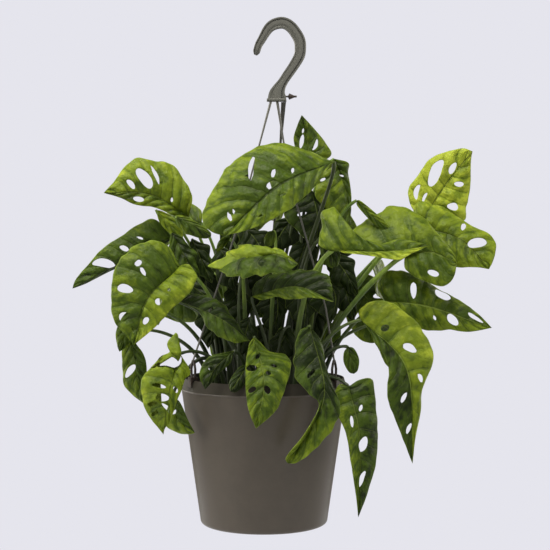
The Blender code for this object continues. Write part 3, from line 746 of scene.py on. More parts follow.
def leaf_finish(name, tones, vein_colour, vein_strength, rough):
    made, tree, shader = blank_finish(name)
    where = add(tree, "ShaderNodeTexCoord").outputs["Object"]
    height = add(tree, "ShaderNodeSeparateXYZ", {"Vector": where}).outputs[2]
    side, out, row = leaf_places(tree, where)
    wave, fine_wave = swell(tree, row, 1), swell(tree, row, 4)
    cloud = grain(tree, where, 36, 3)
    patch = grain(tree, where, 92, 2, 0.5)
    mottle = grain(tree, where, 210, 5, 0.65)
    speck = grain(tree, where, 620, 3, 0.6)
    cell = add(tree, "ShaderNodeTexVoronoi", {"Vector": where, "Scale": 150.0}).outputs["Distance"]
    stretched = {
        axis: scaled(tree, value, factor)
        for axis, (value, factor) in enumerate(zip((row, side, height), DRAWN_ALONG_VEINS))
    }
    drawn = add(tree, "ShaderNodeCombineXYZ", stretched).outputs[0]
    streak = grain(tree, drawn, 1.0, 5, 0.62)

    tone = add(tree, "ShaderNodeAttribute", attribute_name="tone").outputs["Fac"]
    for change in (
        scaled(tree, cloud, 0.38, -0.18),
        ramp(tree, streak, 0.34, 0.60, -0.14, 0.07),
        ramp(tree, patch, 0.36, 0.62, -0.05, 0.05),
        scaled(tree, mottle, 0.26, -0.13),
        scaled(tree, cell, -0.16, 0.07),
        # Painted shade: the grooves along the side veins are darkened.
        ramp(tree, wave, 0.0, 0.40, -0.12, 0.02),  # darker along the side veins
        ramp(tree, out, 0.5, 1.0, -0.05, 0.11),  # lighter towards the margin
    ):
        tone = sum_of(tree, "ADD", tone, change)
    colour = tones[0]
    for index in range(1, 4):
        colour = blend(tree, ramp(tree, tone, (index - 1) / 3, index / 3), colour, tones[index])

    midrib = ramp(tree, out, 0.040, 0.012)
    side_vein = ramp(tree, wave, 0.10, 0.01)
    fine_vein = ramp(tree, fine_wave, 0.3, 0.0)
    margin = ramp(tree, out, 0.965, 0.995)
    # A low rib paints the midrib with shade in its groove, and a high one gives it the pale vein
    # colour.
    rib = add(tree, "ShaderNodeAttribute", attribute_name="rib").outputs["Fac"]
    for mask, strength, tint in (
        (fine_vein, 0.03, vein_colour),
        (side_vein, vein_strength, vein_colour),
        (midrib, 0.75, blend(tree, rib, MIDRIB_GROOVE_SHADE, vein_colour)),
        (margin, 0.5, vein_colour),
    ):
        colour = blend(tree, scaled(tree, mask, strength), colour, tint)
    matt = ramp(tree, mottle, 0.3, 0.72, rough - 0.06, rough + 0.10)
    shader.inputs["Specular IOR Level"].default_value = LEAF_GLOSS

    relief = scaled(tree, midrib, -0.7)
    for part, amount in (
        (wave, 0.9), (fine_wave, 0.06), (patch, 1.3), (cell, -0.4), (speck, 0.22), (mottle, 0.7),
    ):
        relief = sum_of(tree, "MULTIPLY_ADD", part, amount, relief)
    dress(tree, shader, colour, matt, relief, LEAF_RELIEF, LEAF_RELIEF_HEIGHT)
    return made


upper_face = leaf_finish("leaf_upper_face", UPPER_TONES, (0.25, 0.34, 0.060), 0.1925, 0.40)
under_face = leaf_finish("leaf_under_face", UNDER_TONES, (0.27, 0.35, 0.10), 0.21, 0.56)
edge_face = leaf_finish("leaf_edge", UNDER_TONES, (0.30, 0.42, 0.10), 0.175, 0.5)
print("leaf finishes made")

# %% Stalk finish
# Painted shade: the stalks darken deep in the plant, near the soil.
STALK_SHADE_NEAR_SOIL = (0.018, 0.034, 0.006)
SHADE_UP_TO, LIT_FROM = 0.035, 0.120


def stalk_finish(name, light, dark):
    """A smooth green skin, painted dark with shade near the soil."""
    made, tree, shader = blank_finish(name)
    where = add(tree, "ShaderNodeTexCoord").outputs["Object"]
    height = add(tree, "ShaderNodeSeparateXYZ", {"Vector": where}).outputs[2]
    drawn = add(tree, "ShaderNodeMapping", {"Vector": where, "Scale": (1, 1, 0.16)}).outputs[0]
    streak = grain(tree, drawn, 300, 4)
    cloud = grain(tree, where, 34, 3)
    mixed = scaled(tree, cloud, 0.6, scaled(tree, streak, 0.4))
    green = blend(tree, ramp(tree, mixed, 0.36, 0.64), dark, light)
    soil_level = place(0, 0, SOIL_TOP).z
    lit_share = ramp(tree, height, soil_level + SHADE_UP_TO, soil_level + LIT_FROM)
    colour = blend(tree, lit_share, STALK_SHADE_NEAR_SOIL, green)
    matt = ramp(tree, streak, 0.3, 0.7, 0.38, 0.52)
    dress(tree, shader, colour, matt, streak, 0.35, 0.0006)
    return made


green_stalk = stalk_finish("green_stalk", (0.22, 0.33, 0.040), (0.085, 0.155, 0.018))
# The dark copy is the same stalk skin with painted shade, for stalks that run in the plant's shade.
shaded_stalk = stalk_finish("shaded_stalk", (0.046, 0.074, 0.010), (0.014, 0.026, 0.004))
print("stalk finishes made")

# %% [markdown]
# ## Growing a leaf
# A leaf starts as a flat grid: one direction runs along the midrib, the other from margin to
# margin. The windows are cut in this flat state, where a window is a plain ellipse, and then
# every point moves to its place between midrib and margin. A cloth simulation could drape the
# leaves too, but it wouldn't put the margins where they belong.

# %% How finely a leaf is divided
ALONG_STEPS = 60
ACROSS_STEPS = 40
FULL_LENGTH = 100.0


def length_share(leaf):
    """A short leaf has fewer side veins, so they keep their spacing."""
    base, *_, tip = (Vector(point) for point in leaf["line"])
    return min(1.0, (tip - base).length / FULL_LENGTH)


print("a leaf starts as", ALONG_STEPS * ACROSS_STEPS, "cells")

# %% From the flat plan to the room
MARGIN_SET_BACK = 0.16
RAGGED = 0.05
RAGGED_PITCH = 0.11
AHEAD = 0.03
ARCH = 0.10
QUILT = 0.022
EDGE_WAVE, WAVE_PER_ROW, WAVE_SHIFT = 0.020, 2.1, 0.05
LUMP = 2.0
LUMP_SIZE = 17.0
FINE_LUMP, FINER = 0.45, 2.4


def with_depth(points, line):
    """Fills in a missing depth: a margin lies a little behind the midrib beside it."""
    full = []
    for index, point in enumerate(points):
        if len(point) == 2:
            beside = path(line, (index + 1) / (len(points) + 1))
            away = math.hypot(point[0] - beside.x, point[1] - beside.y)
            point = (*point, beside.z + MARGIN_SET_BACK * away)
        full.append(point)
    return full


def leaf_surface(leaf):
    """A function from u along (0 to 1) and v across (-1 to 1) to a point in millimetres."""
    middle = leaf["line"]
    left = [middle[0], *with_depth(leaf["left"], middle), middle[-1]]
    right = [middle[0], *with_depth(leaf["right"], middle), middle[-1]]
    if leaf.get("back"):
        left, right = right, left
    ragged = leaf.get("ragged", RAGGED)
    veins = VEINS * length_share(leaf)
    store = {}

    def rib_and_rim(u, is_left):
        spot = seen(*path(middle, u))
        rim = seen(*path(left if is_left else right, u))
        rim += (rim - spot) * (ragged * noise.noise(rim * RAGGED_PITCH))
        across = rim - spot
        ahead = seen(*path(middle, min(u + AHEAD, 1))) - seen(*path(middle, max(u - AHEAD, 0)))
        normal = ahead.cross(across if is_left else -across)
        if normal.length <= 0.001:  # a leaf has no width at its two ends
            normal = Vector((0, -1, 0))
        return spot, across, normal.normalized()

    def at(u, v):
        key = (round(u, 5), v > 0)
        if key not in store:
            store[key] = rib_and_rim(u, v > 0)
        spot, across, normal = store[key]
        share = abs(v)
        row = u * veins - VEIN_SWEEP * share
        arch = ARCH * 4 * share * (1 - share)
        quilt = QUILT * abs(math.sin(math.pi * row)) * math.sin(math.pi * share**0.6)
        curl = EDGE_WAVE * share**4 * math.sin(row * WAVE_PER_ROW + spot.x * WAVE_SHIFT)
        flat = spot + across * share
        fine = noise.noise(flat / (LUMP_SIZE / FINER))
        lump = noise.noise(flat / LUMP_SIZE) + FINE_LUMP * fine
        bulge = LUMP * lump * math.sin(math.pi * share**0.5)
        return flat + normal * (across.length * (arch + quilt + curl) + bulge)

    return at


print("arch and swelling as shares of the half width:", ARCH, QUILT)

# %% Finding a window on the plan
NUDGE = 0.01
WINDOW_EDGE = 0.97
MARGIN_FROM = 0.97
NEAREST_TO_MIDDLE = 0.25


def window_middle(mesh, at, spots, goal):
    """The window's middle on the plan, and how a step along or across shows there."""
    nearest = min(spots, key=lambda index: (spots[index] - goal).length_squared)
    u, v = mesh.vertices[nearest].co.xy
    offset = goal - spots[nearest]
    step_u = (shown_at(at(u + NUDGE, v)) - shown_at(at(u - NUDGE, v))) / (2 * NUDGE)
    step_v = (shown_at(at(u, v + NUDGE)) - shown_at(at(u, v - NUDGE))) / (2 * NUDGE)
    area = step_u.x * step_v.y - step_u.y * step_v.x
    u += (offset.x * step_v.y - offset.y * step_v.x) / area
    v += (step_u.x * offset.y - step_u.y * offset.x) / area
    return u, v, step_u, step_v


def window_cells(mesh, at, spots, window):
    """The cells inside a window, and where their corners go to lie on its ellipse."""
    x, z, half_long, half_wide, *turn = window
    u, v, step_u, step_v = window_middle(mesh, at, spots, Vector((x, z)))
    vein = (step_v * (1 if v > 0 else -1) + step_u * (VEIN_SWEEP / VEINS)).normalized()
    if turn:
        vein = Vector((math.cos(math.radians(turn[0])), math.sin(math.radians(turn[0]))))
    beside = Vector((-vein.y, vein.x))

    def measure(a, b):
        """How far from the middle: 1 lies on the ellipse."""
        reach = step_u * (a - u) + step_v * (b - v)
        return math.hypot(reach.dot(vein) / half_long, reach.dot(beside) / half_wide)

    cut = {
        face.index
        for face in mesh.polygons
        if measure(*face.center.xy) < WINDOW_EDGE and abs(face.center.y) < MARGIN_FROM
    }
    if not cut:
        cut.add(min(mesh.polygons, key=lambda face: measure(*face.center.xy)).index)
    pulls = {}
    for index in {corner for face in cut for corner in mesh.polygons[face].vertices}:
        a, b, _ = mesh.vertices[index].co
        reach = max(measure(a, b), NEAREST_TO_MIDDLE)
        pulls[index] = (u + (a - u) / reach, v + (b - v) / reach)
    return cut, pulls


print("a window takes the cells within", WINDOW_EDGE, "of its ellipse")

# %% Cutting the windows
ENDS = 0.02
LOWEST_U, WIDEST_V = 0.004, 0.985


def cut_windows(piece, at, windows):
    """Deletes the cells inside each window and pulls their corners onto its ellipse."""
    mesh = piece.data
    spots = {
        point.index: shown_at(at(point.co.x, point.co.y))
        for point in mesh.vertices
        if ENDS < point.co.x < 1 - ENDS
    }
    doomed, pulls = set(), {}
    for window in windows:
        cut, moved = window_cells(mesh, at, spots, window)
        doomed |= cut
        pulls.update(moved)
    bpy.ops.object.mode_set(mode="EDIT")
    bpy.ops.mesh.select_mode(type="FACE")
    bpy.ops.mesh.select_all(action="DESELECT")
    end_edit()
    for index, (a, b) in pulls.items():
        mesh.vertices[index].co.xy = (
            min(max(a, LOWEST_U), 1 - LOWEST_U), min(max(b, -WIDEST_V), WIDEST_V)
        )
    for index in doomed:
        mesh.polygons[index].select = True
    bpy.ops.object.mode_set(mode="EDIT")
    bpy.ops.mesh.delete(type="FACE")
    bpy.ops.mesh.select_all(action="DESELECT")
    end_edit()


print("windows stay within", WIDEST_V, "of the half width")

# %% Tones on a leaf
TONES_MEET = 0.06
TIP_FROM, TIP_OVER = 0.45, 0.25
USUAL_RIB = 0.45


def clamped(value):
    return min(max(value, 0), 1)


def write_plan_and_tones(mesh, leaf):
    """Keeps the flat plan as a UV map, and a tone and the midrib's paleness at each point."""
    reach = length_share(leaf)
    plan = mesh.uv_layers.new(name="plan")
    mesh.uv_layers.active = plan
    for loop in mesh.loops:
        flat = mesh.vertices[loop.vertex_index].co
        plan.data[loop.index].uv = (flat.x * reach, (flat.y + 1) / 2)
    tone = mesh.attributes.new("tone", "FLOAT", "POINT")
    rib = mesh.attributes.new("rib", "FLOAT", "POINT")
    left_tone, right_tone = leaf["tones"]
    for point in mesh.vertices:
        u, v = point.co.xy
        share = clamped((v + TONES_MEET) / (2 * TONES_MEET))
        # A leaf's tip can be painted lighter, as painted light on a tip that turns towards the
        # lamps.
        tip = clamped((u - TIP_FROM) / TIP_OVER) * leaf.get("tip_painted_light", 0)
        rib.data[point.index].value = leaf.get("rib", USUAL_RIB)
        # Each half's tone paints its own green together with how lit or shaded that half is.
        tone.data[point.index].value = right_tone + (left_tone - right_tone) * share + tip


print("the halves' tones meet within", TONES_MEET, "of the midrib")

# %% Growing a leaf
LEAF_THICKNESS = 0.55


def grow_leaf(name, leaf):
    at = leaf_surface(leaf)
    grid = {"x_subdivisions": ALONG_STEPS, "y_subdivisions": ACROSS_STEPS, "size": 2}
    piece = fresh("blade_" + name, bpy.ops.mesh.primitive_grid_add, location=(0, 0, 0), **grid)
    mesh = piece.data
    for point in mesh.vertices:
        point.co.x = (point.co.x + 1) / 2
    cut_windows(piece, at, leaf.get("windows", ()))
    write_plan_and_tones(mesh, leaf)
    for point in mesh.vertices:
        point.co = place(*at(point.co.x, point.co.y))
    edit_all()
    bpy.ops.mesh.remove_doubles(threshold=2 * MERGE_WITHIN)
    bpy.ops.mesh.dissolve_degenerate(threshold=MERGE_WITHIN)
    end_edit()
    wall = piece.modifiers.new("thickness", "SOLIDIFY")
    wall.thickness = LEAF_THICKNESS * MM
    wall.offset = 0.0
    wall.material_offset = 1
    wall.material_offset_rim = 2
    bpy.ops.object.modifier_apply(modifier=wall.name)
    for finish in (upper_face, under_face, edge_face):
        piece.data.materials.append(finish)
    bpy.ops.object.shade_smooth()
    return piece, at


print("leaf thickness in millimetres:", LEAF_THICKNESS)

# %% Growing a stalk
STALK_FOOT, STALK_TIP = 2.6, 1.3
STALK_STEPS = 22
LEAF_PULL = 0.55
LONGEST_BEND, BEND_SHARE = 30.0, 0.4
KNEE_FROM, KNEE_SWELL = 0.9, 0.25


def grow_stalk(name, leaf, at):
    """The stalk rises from the soil, bends over and runs into the leaf's midrib."""
    start = Vector((*leaf["foot"], SOIL_TOP + 0.5))
    rise = start + Vector((0, 0, leaf["lift"]))
    base = at(0.0, 1.0)
    along = (at(0.06, 0.0) - base).normalized()
    arrive = ((base - rise).normalized() + along * LEAF_PULL).normalized()
    before = base - arrive * min(LONGEST_BEND, BEND_SHARE * (base - rise).length)
    foot, tip = leaf.get("girth", (STALK_FOOT, STALK_TIP))

    def spot(t):
        bend = start * (1 - t) ** 3 + rise * 3 * t * (1 - t) ** 2
        return bend + before * 3 * t * t * (1 - t) + base * t**3

    stations = []
    for step in range(STALK_STEPS + 1):
        t = step / STALK_STEPS
        ahead = (spot(min(t + 0.01, 1)) - spot(max(t - 0.01, 0))).normalized()
        wide = ahead.cross(Vector((0.1, 1, 0.05))).normalized()
        deep = ahead.cross(wide).normalized()
        thick = foot + (tip - foot) * t**0.8
        if t > KNEE_FROM:
            thick *= 1 + KNEE_SWELL * math.sin((t - KNEE_FROM) / (1 - KNEE_FROM) * math.pi)
        stations.append((place(*spot(t)), wide * thick * MM, deep * thick * MM))
    stalk = swept("stalk_" + name, stations, ROUND_SECTION)
    stalk.data.materials.append(shaded_stalk if leaf.get("shaded_stalk") else green_stalk)
    return stalk


print("a stalk has", STALK_STEPS, "steps")

# %% [markdown]
# ## The leaves one by one
# Every leaf has its midrib from base to tip, its margins to the left and right of the midrib with
# the tip held up, and its windows as (across, up, half length, half width), with the angle of the
# long way where that isn't along the side vein. The foot is where the stalk leaves the soil, the
# lift is how straight it starts and the girth is its half thickness below and above. The two tones
# are for the left and the right half; they paint the leaf's own green and also how lit or shaded
# that half is. Rib says how pale the midrib is, and a low rib paints shade into its groove. A few
# shapes, copied and turned, would be less work, but no two leaves of the real plant are alike.

# %% Leaves on the left
LEAVES = {}
LEAVES["upper_left"] = dict(
    line=((-75, 306, 14), (-114, 328, 4), (-160, 330, -8)),
    left=((-89, 307, 8), (-108.6, 315, 4), (-128, 318, 2), (-143, 325, -2)),
    right=((-72, 328, 10), (-82.5, 346, 14), (-93, 358.5, 14), (-112, 362, 12), (-126, 365, 10),
           (-139, 356, 6), (-150, 341, 0)),
    windows=((-119, 344.5, 12, 5, -50), (-133, 339, 6, 2.6, -50), (-108, 348, 10, 1.9, -62),
             (-125.5, 323.7, 5.5, 2.6, -8), (-92, 323, 2.5, 1.3, 80)),
    foot=(-34, 20), lift=70, tones=(0.50, 0.64),
)
LEAVES["outer_left"] = dict(
    line=((-89, 287, 22), (-140, 262, 8), (-191.5, 234.6, -6)),
    left=((-112, 270, 26), (-150, 254, 16), (-177, 240, 2)),
    right=((-109.6, 303.5), (-128, 296.5), (-143, 286.7), (-158.4, 277), (-172.5, 261.8),
           (-187.7, 244.4)),
    windows=((-139.7, 274.7, 5, 2.6, -25), (-160.7, 260.3, 12, 4.4, -8), (-124, 285, 4, 1.2, -20)),
    foot=(-44, 6), lift=60, tones=(0.20, 0.28),
)
LEAVES["big_left"] = dict(
    rib=0.15,
    line=((-84, 256, -36), (-117, 223, -56), (-130, 178, -62)),
    left=((-75, 258, -40), (-67, 246, -44), (-73, 232, -50), (-91, 215, -54), (-105, 200, -58),
          (-118, 188, -62)),
    right=((-95, 275, -34), (-112, 282.5, -40), (-134, 274, -48), (-148, 254, -54),
           (-153.5, 228, -58),
           (-150, 203, -60), (-139, 188, -62)),
    windows=((-125.7, 260, 4, 3, 40), (-121, 251.5, 5, 2, -60), (-139, 234.3, 8, 4.4, -12),
             (-105.7, 221.3, 3.5, 3.4), (-140.7, 206.3, 5.6, 4.4, 30), (-118.3, 202, 4, 2.8, 60),
             (-130.7, 193.7, 2.5, 1.3, 0), (-95, 233, 2, 1.5)),
    foot=(-34, -12), lift=70, tones=(0.66, 0.40),
)
LEAVES["low_left"] = dict(
    ragged=0.07,
    line=((-84, 169, -56), (-93.7, 134.5, -74), (-101, 88, -72)),
    left=((-74.2, 150.8), (-79.6, 143.2), (-83, 132.4), (-87.2, 121.5), (-93.7, 103),
          (-99.2, 94.4)),
    right=((-88, 190), (-97, 179), (-93.7, 171.4), (-104.6, 165), (-115.4, 154), (-123, 139),
           (-123.6, 129), (-119.8, 115), (-111, 101), (-102.4, 91)),
    windows=((-90, 161, 6, 2.6), (-105, 137, 8, 2), (-102, 125, 7, 4), (-88.5, 133, 3.5, 2),
             (-112, 119, 5, 2.2), (-110, 109, 4, 2), (-96, 113, 5, 1.5)),
    foot=(-38, -30), lift=40, tones=(0.60, 0.62),
)
LEAVES["far_left"] = dict(
    line=((-134, 190, -20), (-128, 152, -26), (-119, 118, -30)),
    left=((-127.4, 178), (-119.8, 167), (-117.6, 150.8)),
    right=((-141.5, 178), (-141.5, 153), (-139.3, 136.7), (-130.6, 127), (-122, 120.4)),
    windows=((-134, 152, 8, 3.4),),
    foot=(-54, -8), lift=46, tones=(0.30, 0.50),
)
LEAVES["low_left_behind"] = dict(
    line=((-92, 126, -44), (-86, 104, -52), (-69.3, 89.5, -60)),
    left=((-84, 120.4), (-77.5, 105.3)),
    right=((-98, 110), (-98, 96.6), (-87, 90), (-76.4, 88.4)),
    windows=((-89.4, 110.7, 3, 1.6),),
    foot=(-46, -19), lift=64, tones=(0.28, 0.55),
)
LEAVES["rim_left"] = dict(
    line=((-30, 172, -66), (-49.3, 154, -82), (-59, 133.5, -88)),
    left=((-34, 160), (-45, 150), (-53, 140)),
    right=((-40, 170), (-55, 166), (-63, 155), (-64, 145)),
    windows=((-53.6, 154, 2, 1.6),),
    foot=(-14, -46), lift=24, tones=(0.04, 0.14), shaded_stalk=True,
)
LEAVES["lower_left"] = dict(
    ragged=0.2,
    rib=0.3,
    line=((-86, 222, -34), (-45, 205, -60), (-14.5, 182, -66)),
    left=((-70, 228, -34), (-49.3, 223.5, -46), (-37.3, 216, -52), (-27.6, 199.6, -58)),
    right=((-72, 216, -36), (-62.3, 207, -48), (-58, 197.4, -54), (-47, 188.8, -60),
           (-33, 180.6, -64)),
    windows=((-52, 214, 4, 1.6),),
    foot=(-20, -36), lift=64, girth=(2.6, 1.5), shaded_stalk=True, tones=(0.04, 0.30),
)
LEAVES["left_behind"] = dict(
    line=((-84, 250, -10), (-68, 234, -14), (-50, 222.5, -16)),
    left=((-70, 250), (-62, 240)),
    right=((-76, 230), (-62, 219)),
    foot=(-22, 0), lift=80, tones=(0.08, 0.15), shaded_stalk=True,
)
print("leaves on the left:", len(LEAVES))

# %% Leaves at the top and in the middle
LEAVES["top"] = dict(
    rib=0.0,
    line=((70, 361, -26), (14.4, 336.2, -52), (-39.3, 287.4, -62)),
    left=((62, 352, -34), (50, 335, -44), (24, 312.4, -60), (2, 300.4, -66), (-20, 291.8, -66)),
    right=((66, 362, -24), (43, 372, -20), (13, 380.2, -22), (-13, 373, -26), (-38, 352.5, -36),
           (-55.6, 325.4, -48), (-62, 303, -56), (-52, 291, -60)),
    windows=((-13, 354.7, 13, 2.9, 80), (9.3, 349.7, 5, 2.1, 75), (28.7, 352.3, 3, 1.6, 80),
             (-34.5, 306, 5, 2, -65), (-30, 311, 3.5, 1.4, -60), (7, 338.5, 6, 3, 35),
             (19, 328, 4, 1.2, 20),
             (-4.6, 307, 3.5, 1.2, 20)),
    foot=(18, -8), lift=110, girth=(2.8, 1.6), shaded_stalk=True, tones=(0.44, 0.42),
)
LEAVES["top_behind"] = dict(
    line=((46, 356, 12), (43, 383, 16), (37.7, 407.3, 14)),
    left=((34, 366), (30, 384), (33.4, 397)),
    right=((60, 362), (67, 370), (54, 389.4)),
    windows=((37.7, 381.3, 7, 2.1, 80), (52, 378, 6, 1.7, 75), (39, 392, 2.5, 1, 80)),
    foot=(12, 12), lift=150, girth=(2.2, 1.2), shaded_stalk=True, tones=(0.35, 0.45),
)
LEAVES["top_right"] = dict(
    line=((70, 364, 12), (82, 330, 16), (85.4, 295, 14)),
    left=((84, 360, 14), (84, 349, 18), (87, 330, 18), (87, 312, 16)),
    right=((62, 356, 8), (53, 340, 4), (52, 325, 2), (62, 314, 6), (76, 300, 12)),
    windows=((77.8, 347, 2.5, 1), (58.9, 343.3, 3, 1.5)),
    foot=(34, 20), lift=150, girth=(2.4, 1.3), tones=(0.34, 0.50),
)
LEAVES["under_top"] = dict(
    line=((47, 333, 4), (54, 305, -1), (51.8, 276.6, -3)),
    left=((57, 322, 8), (59, 296, 2)),
    right=((36, 325, 6), (20, 309, 2), (34.5, 290.7, 0)),
    windows=((37.7, 309, 5, 1.8),),
    foot=(37, 2), lift=120, tones=(0.05, 0.10), shaded_stalk=True,
)
LEAVES["centre_arched"] = dict(
    ragged=0.22,
    line=((-18, 262, -66), (10, 268, -78), (34, 259, -84)),
    left=((-30, 258, -62), (-56, 255, -66), (-42, 266, -60), (-31, 272.4, -60), (-20.6, 276.7, -60),
          (-3, 274.6, -64), (10.8, 274.6, -70), (22.8, 268, -78)),
    right=((-30, 256, -74), (-46, 252, -74), (-34, 247, -82), (-14, 246, -88), (5, 250, -90),
           (22, 250, -90)),
    foot=(-24, -46), lift=90, girth=(1.9, 1.1), shaded_stalk=True, tones=(0.66, 0.24),
)
LEAVES["centre_right"] = dict(
    ragged=0.14,
    line=((-12, 226, -46), (32, 236, -66), (69.4, 221.4, -74)),
    left=((-8, 240, -36), (12, 250, -44), (34, 253, -52), (56, 251, -60), (66, 245, -66),
          (68, 234, -72)),
    right=((0, 223, -54), (12, 226, -62), (28, 223.6, -70), (50, 225, -76)),
    # Its left half is painted dark with shade, its right half painted as lit.
    foot=(8, -38), lift=60, girth=(2.2, 1.2), shaded_stalk=True, tones=(0.06, 0.46),
)
LEAVES["front"] = dict(
    rib=0.55,
    line=((-10, 186, -66), (0, 140, -92), (-8, 94, -98)),
    left=((-3, 180, -68), (6, 171, -72), (20.6, 168, -76), (27, 158.5, -82), (24, 143, -88),
          (17, 123, -94), (11, 111, -96)),
    right=((-15, 178, -70), (-18.4, 158, -80), (-18.5, 140, -88), (-17.4, 123, -94),
           (-14, 108, -97)),
    windows=((-12.3, 154.7, 5.6, 3.2, 0), (10.3, 157, 4, 1.4, -15), (4.3, 149.7, 3, 2),
             (3.3, 133, 4.4, 3, -60),
             (-12, 133, 4.4, 2.6, 30), (-6.3, 166.5, 3, 2)),
    foot=(4, -58), lift=24, tones=(0.40, 0.44),
)
LEAVES["twisting"] = dict(
    ragged=0.12,
    line=((46, 197, -72), (60, 125, -98), (24, 59, -98)),
    left=((57, 181, -74), (62, 157, -84), (68, 138, -92), (76, 116, -98), (70, 98, -102),
          (57, 79, -104), (35, 60.5, -102)),
    right=((35, 190, -74), (31.4, 163, -82), (34, 144, -88), (44, 130, -94), (55, 120, -100),
           (51, 106, -104), (37, 84, -106), (22, 65, -102)),
    windows=((46.6, 149, 6, 2),),
    # Its upper part is painted dark with shade, and its tip painted light where it turns to the
    # lamps.
    foot=(30, -52), lift=30, tones=(0.02, 0.10), tip_painted_light=0.46,
)
print("leaves so far:", len(LEAVES))

# %% Leaves on the right
LEAVES["yellow_right"] = dict(
    line=((70, 274, -60), (113, 270.5, -76), (164.6, 277, -84)),
    left=((55, 278, -62), (57, 295, -50), (59, 310, -42), (70, 315.6, -40), (75, 304, -46),
          (86.5, 286, -58), (113, 279, -66), (132, 283, -72), (152, 281, -80)),
    right=((80, 270, -66), (88, 269.4, -72), (113, 266, -80), (133.7, 263, -86),
           (146.7, 268.8, -86)),
    foot=(30, -34), lift=90, girth=(3.0, 2.0), tones=(0.44, 0.76),
)
LEAVES["pale_right"] = dict(
    line=((140.8, 268.3, -22), (167.3, 270.4, -34), (192.8, 259.6, -44)),
    left=((88, 287, -16), (102, 303, -8), (126, 316.5, -2), (145, 313, -6), (162, 302, -16),
          (178, 283.5, -30), (190, 269, -42)),
    right=((142, 253, -30), (161, 241, -38), (178, 236, -44), (189, 244, -46)),
    windows=((169.3, 249.7, 6, 3, -20),),
    foot=(46, -12), lift=50, girth=(3.0, 2.2), tones=(0.50, 0.42),
)
LEAVES["far_right"] = dict(
    rib=0.35,
    line=((150, 296, 10), (195, 284, -2), (225, 254, -12)),
    left=((150, 316, 18), (161, 321.4, 20), (183.6, 310.6, 16), (200, 302, 12), (214, 294, 6),
          (226, 288, 2), (232, 277, -4), (229, 262, -10)),
    right=((160, 276, 0), (180, 262, -6), (194.5, 255.8, -8), (211, 255.8, -12)),
    windows=((212.7, 280.3, 10, 4.6, 8), (199.3, 296.3, 3.6, 2.4, 70)),
    foot=(50, 6), lift=60, girth=(2.8, 1.9), tones=(0.62, 0.54),
)
LEAVES["upper_right"] = dict(
    rib=0.7,
    line=((162, 309, 34), (182, 339, 42), (208, 371.3, 38)),
    left=((150, 312, 30), (143.5, 330, 32), (153, 346.4, 36), (162, 359.4, 40), (172, 367, 42),
          (184, 371.3, 42), (199, 374.3, 40)),
    right=((185, 305, 36), (200, 303, 36), (202, 317, 40), (206, 336.6, 42), (206.4, 360.5, 40)),
    windows=((171, 349.7, 15, 5.4, 70), (188.3, 354.7, 6.5, 3, 62), (195, 338.7, 5, 2.6, -5),
             (188.7, 316, 6, 3.6, -8), (152, 331, 8, 2.4, 80), (160, 325, 6, 1.5, 65)),
    # Both halves are painted bright: painted light shining through this backlit leaf.
    foot=(46, 26), lift=90, tones=(0.98, 0.90),
)
LEAVES["right"] = dict(
    rib=0.75,
    line=((121, 222, -12), (165, 216, -28), (228, 195, -32)),
    left=((114, 236, -8), (118, 246, -4), (129.4, 253, -2), (150, 249, -4), (175, 233.6, -12),
          (194.5, 223, -18), (212, 211, -26)),
    right=((135, 206, -20), (158.4, 194, -26), (169, 192.5, -28), (187, 193, -30), (205, 191, -32)),
    windows=((149.5, 233, 8, 3.2, 90), (178.9, 228, 9, 3.4, -25), (189, 203, 7, 4, -45),
             (212, 205, 9, 1.8, -30), (170.7, 205.2, 3, 1.3)),
    foot=(58, -4), lift=40, tones=(0.40, 0.54),
)
LEAVES["hanging_right"] = dict(
    rib=0.9,
    line=((97, 203, -44), (143, 153, -66), (149, 59, -62)),
    left=((95, 212, -40), (107, 222, -38), (123, 221.6, -40), (148, 206, -48), (164.6, 182, -56),
          (169, 162.4, -60), (158.4, 132.8, -64), (157, 113, -64), (151.3, 83, -62)),
    right=((104, 194, -50), (112, 180, -58), (124, 159, -66), (124, 140, -70), (123, 131, -72),
           (127, 115, -70), (139, 84, -66)),
    windows=((121, 194.7, 4.6, 3.4, 20), (146, 175.3, 8, 4, -20), (157, 144.5, 5, 2.1, -70),
             (140, 125, 6, 2.2, 60), (145, 94, 6, 2, 70)),
    foot=(40, -42), lift=40, tones=(0.68, 0.26),
)
LEAVES["low_right"] = dict(
    line=((85, 136, -70), (96, 83, -80), (94.5, 5, -76)),
    left=((95, 142.5, -66), (108, 144.5, -62), (111, 132, -66), (112, 116, -70), (114, 90, -72),
          (112, 60, -74), (104, 30, -76)),
    right=((75, 138, -66), (70, 124, -70), (74, 107, -74), (82, 90, -78), (87, 60, -80),
           (92, 28, -80)),
    windows=((97, 114.7, 3.6, 1.8, 70), (88, 101, 6, 1.7, -85), (99.3, 78, 8, 4, 75),
             (97.7, 43, 9, 2.4, 72)),
    foot=(48, -40), lift=26, tones=(0.22, 0.42),
)
print("leaves so far:", len(LEAVES))

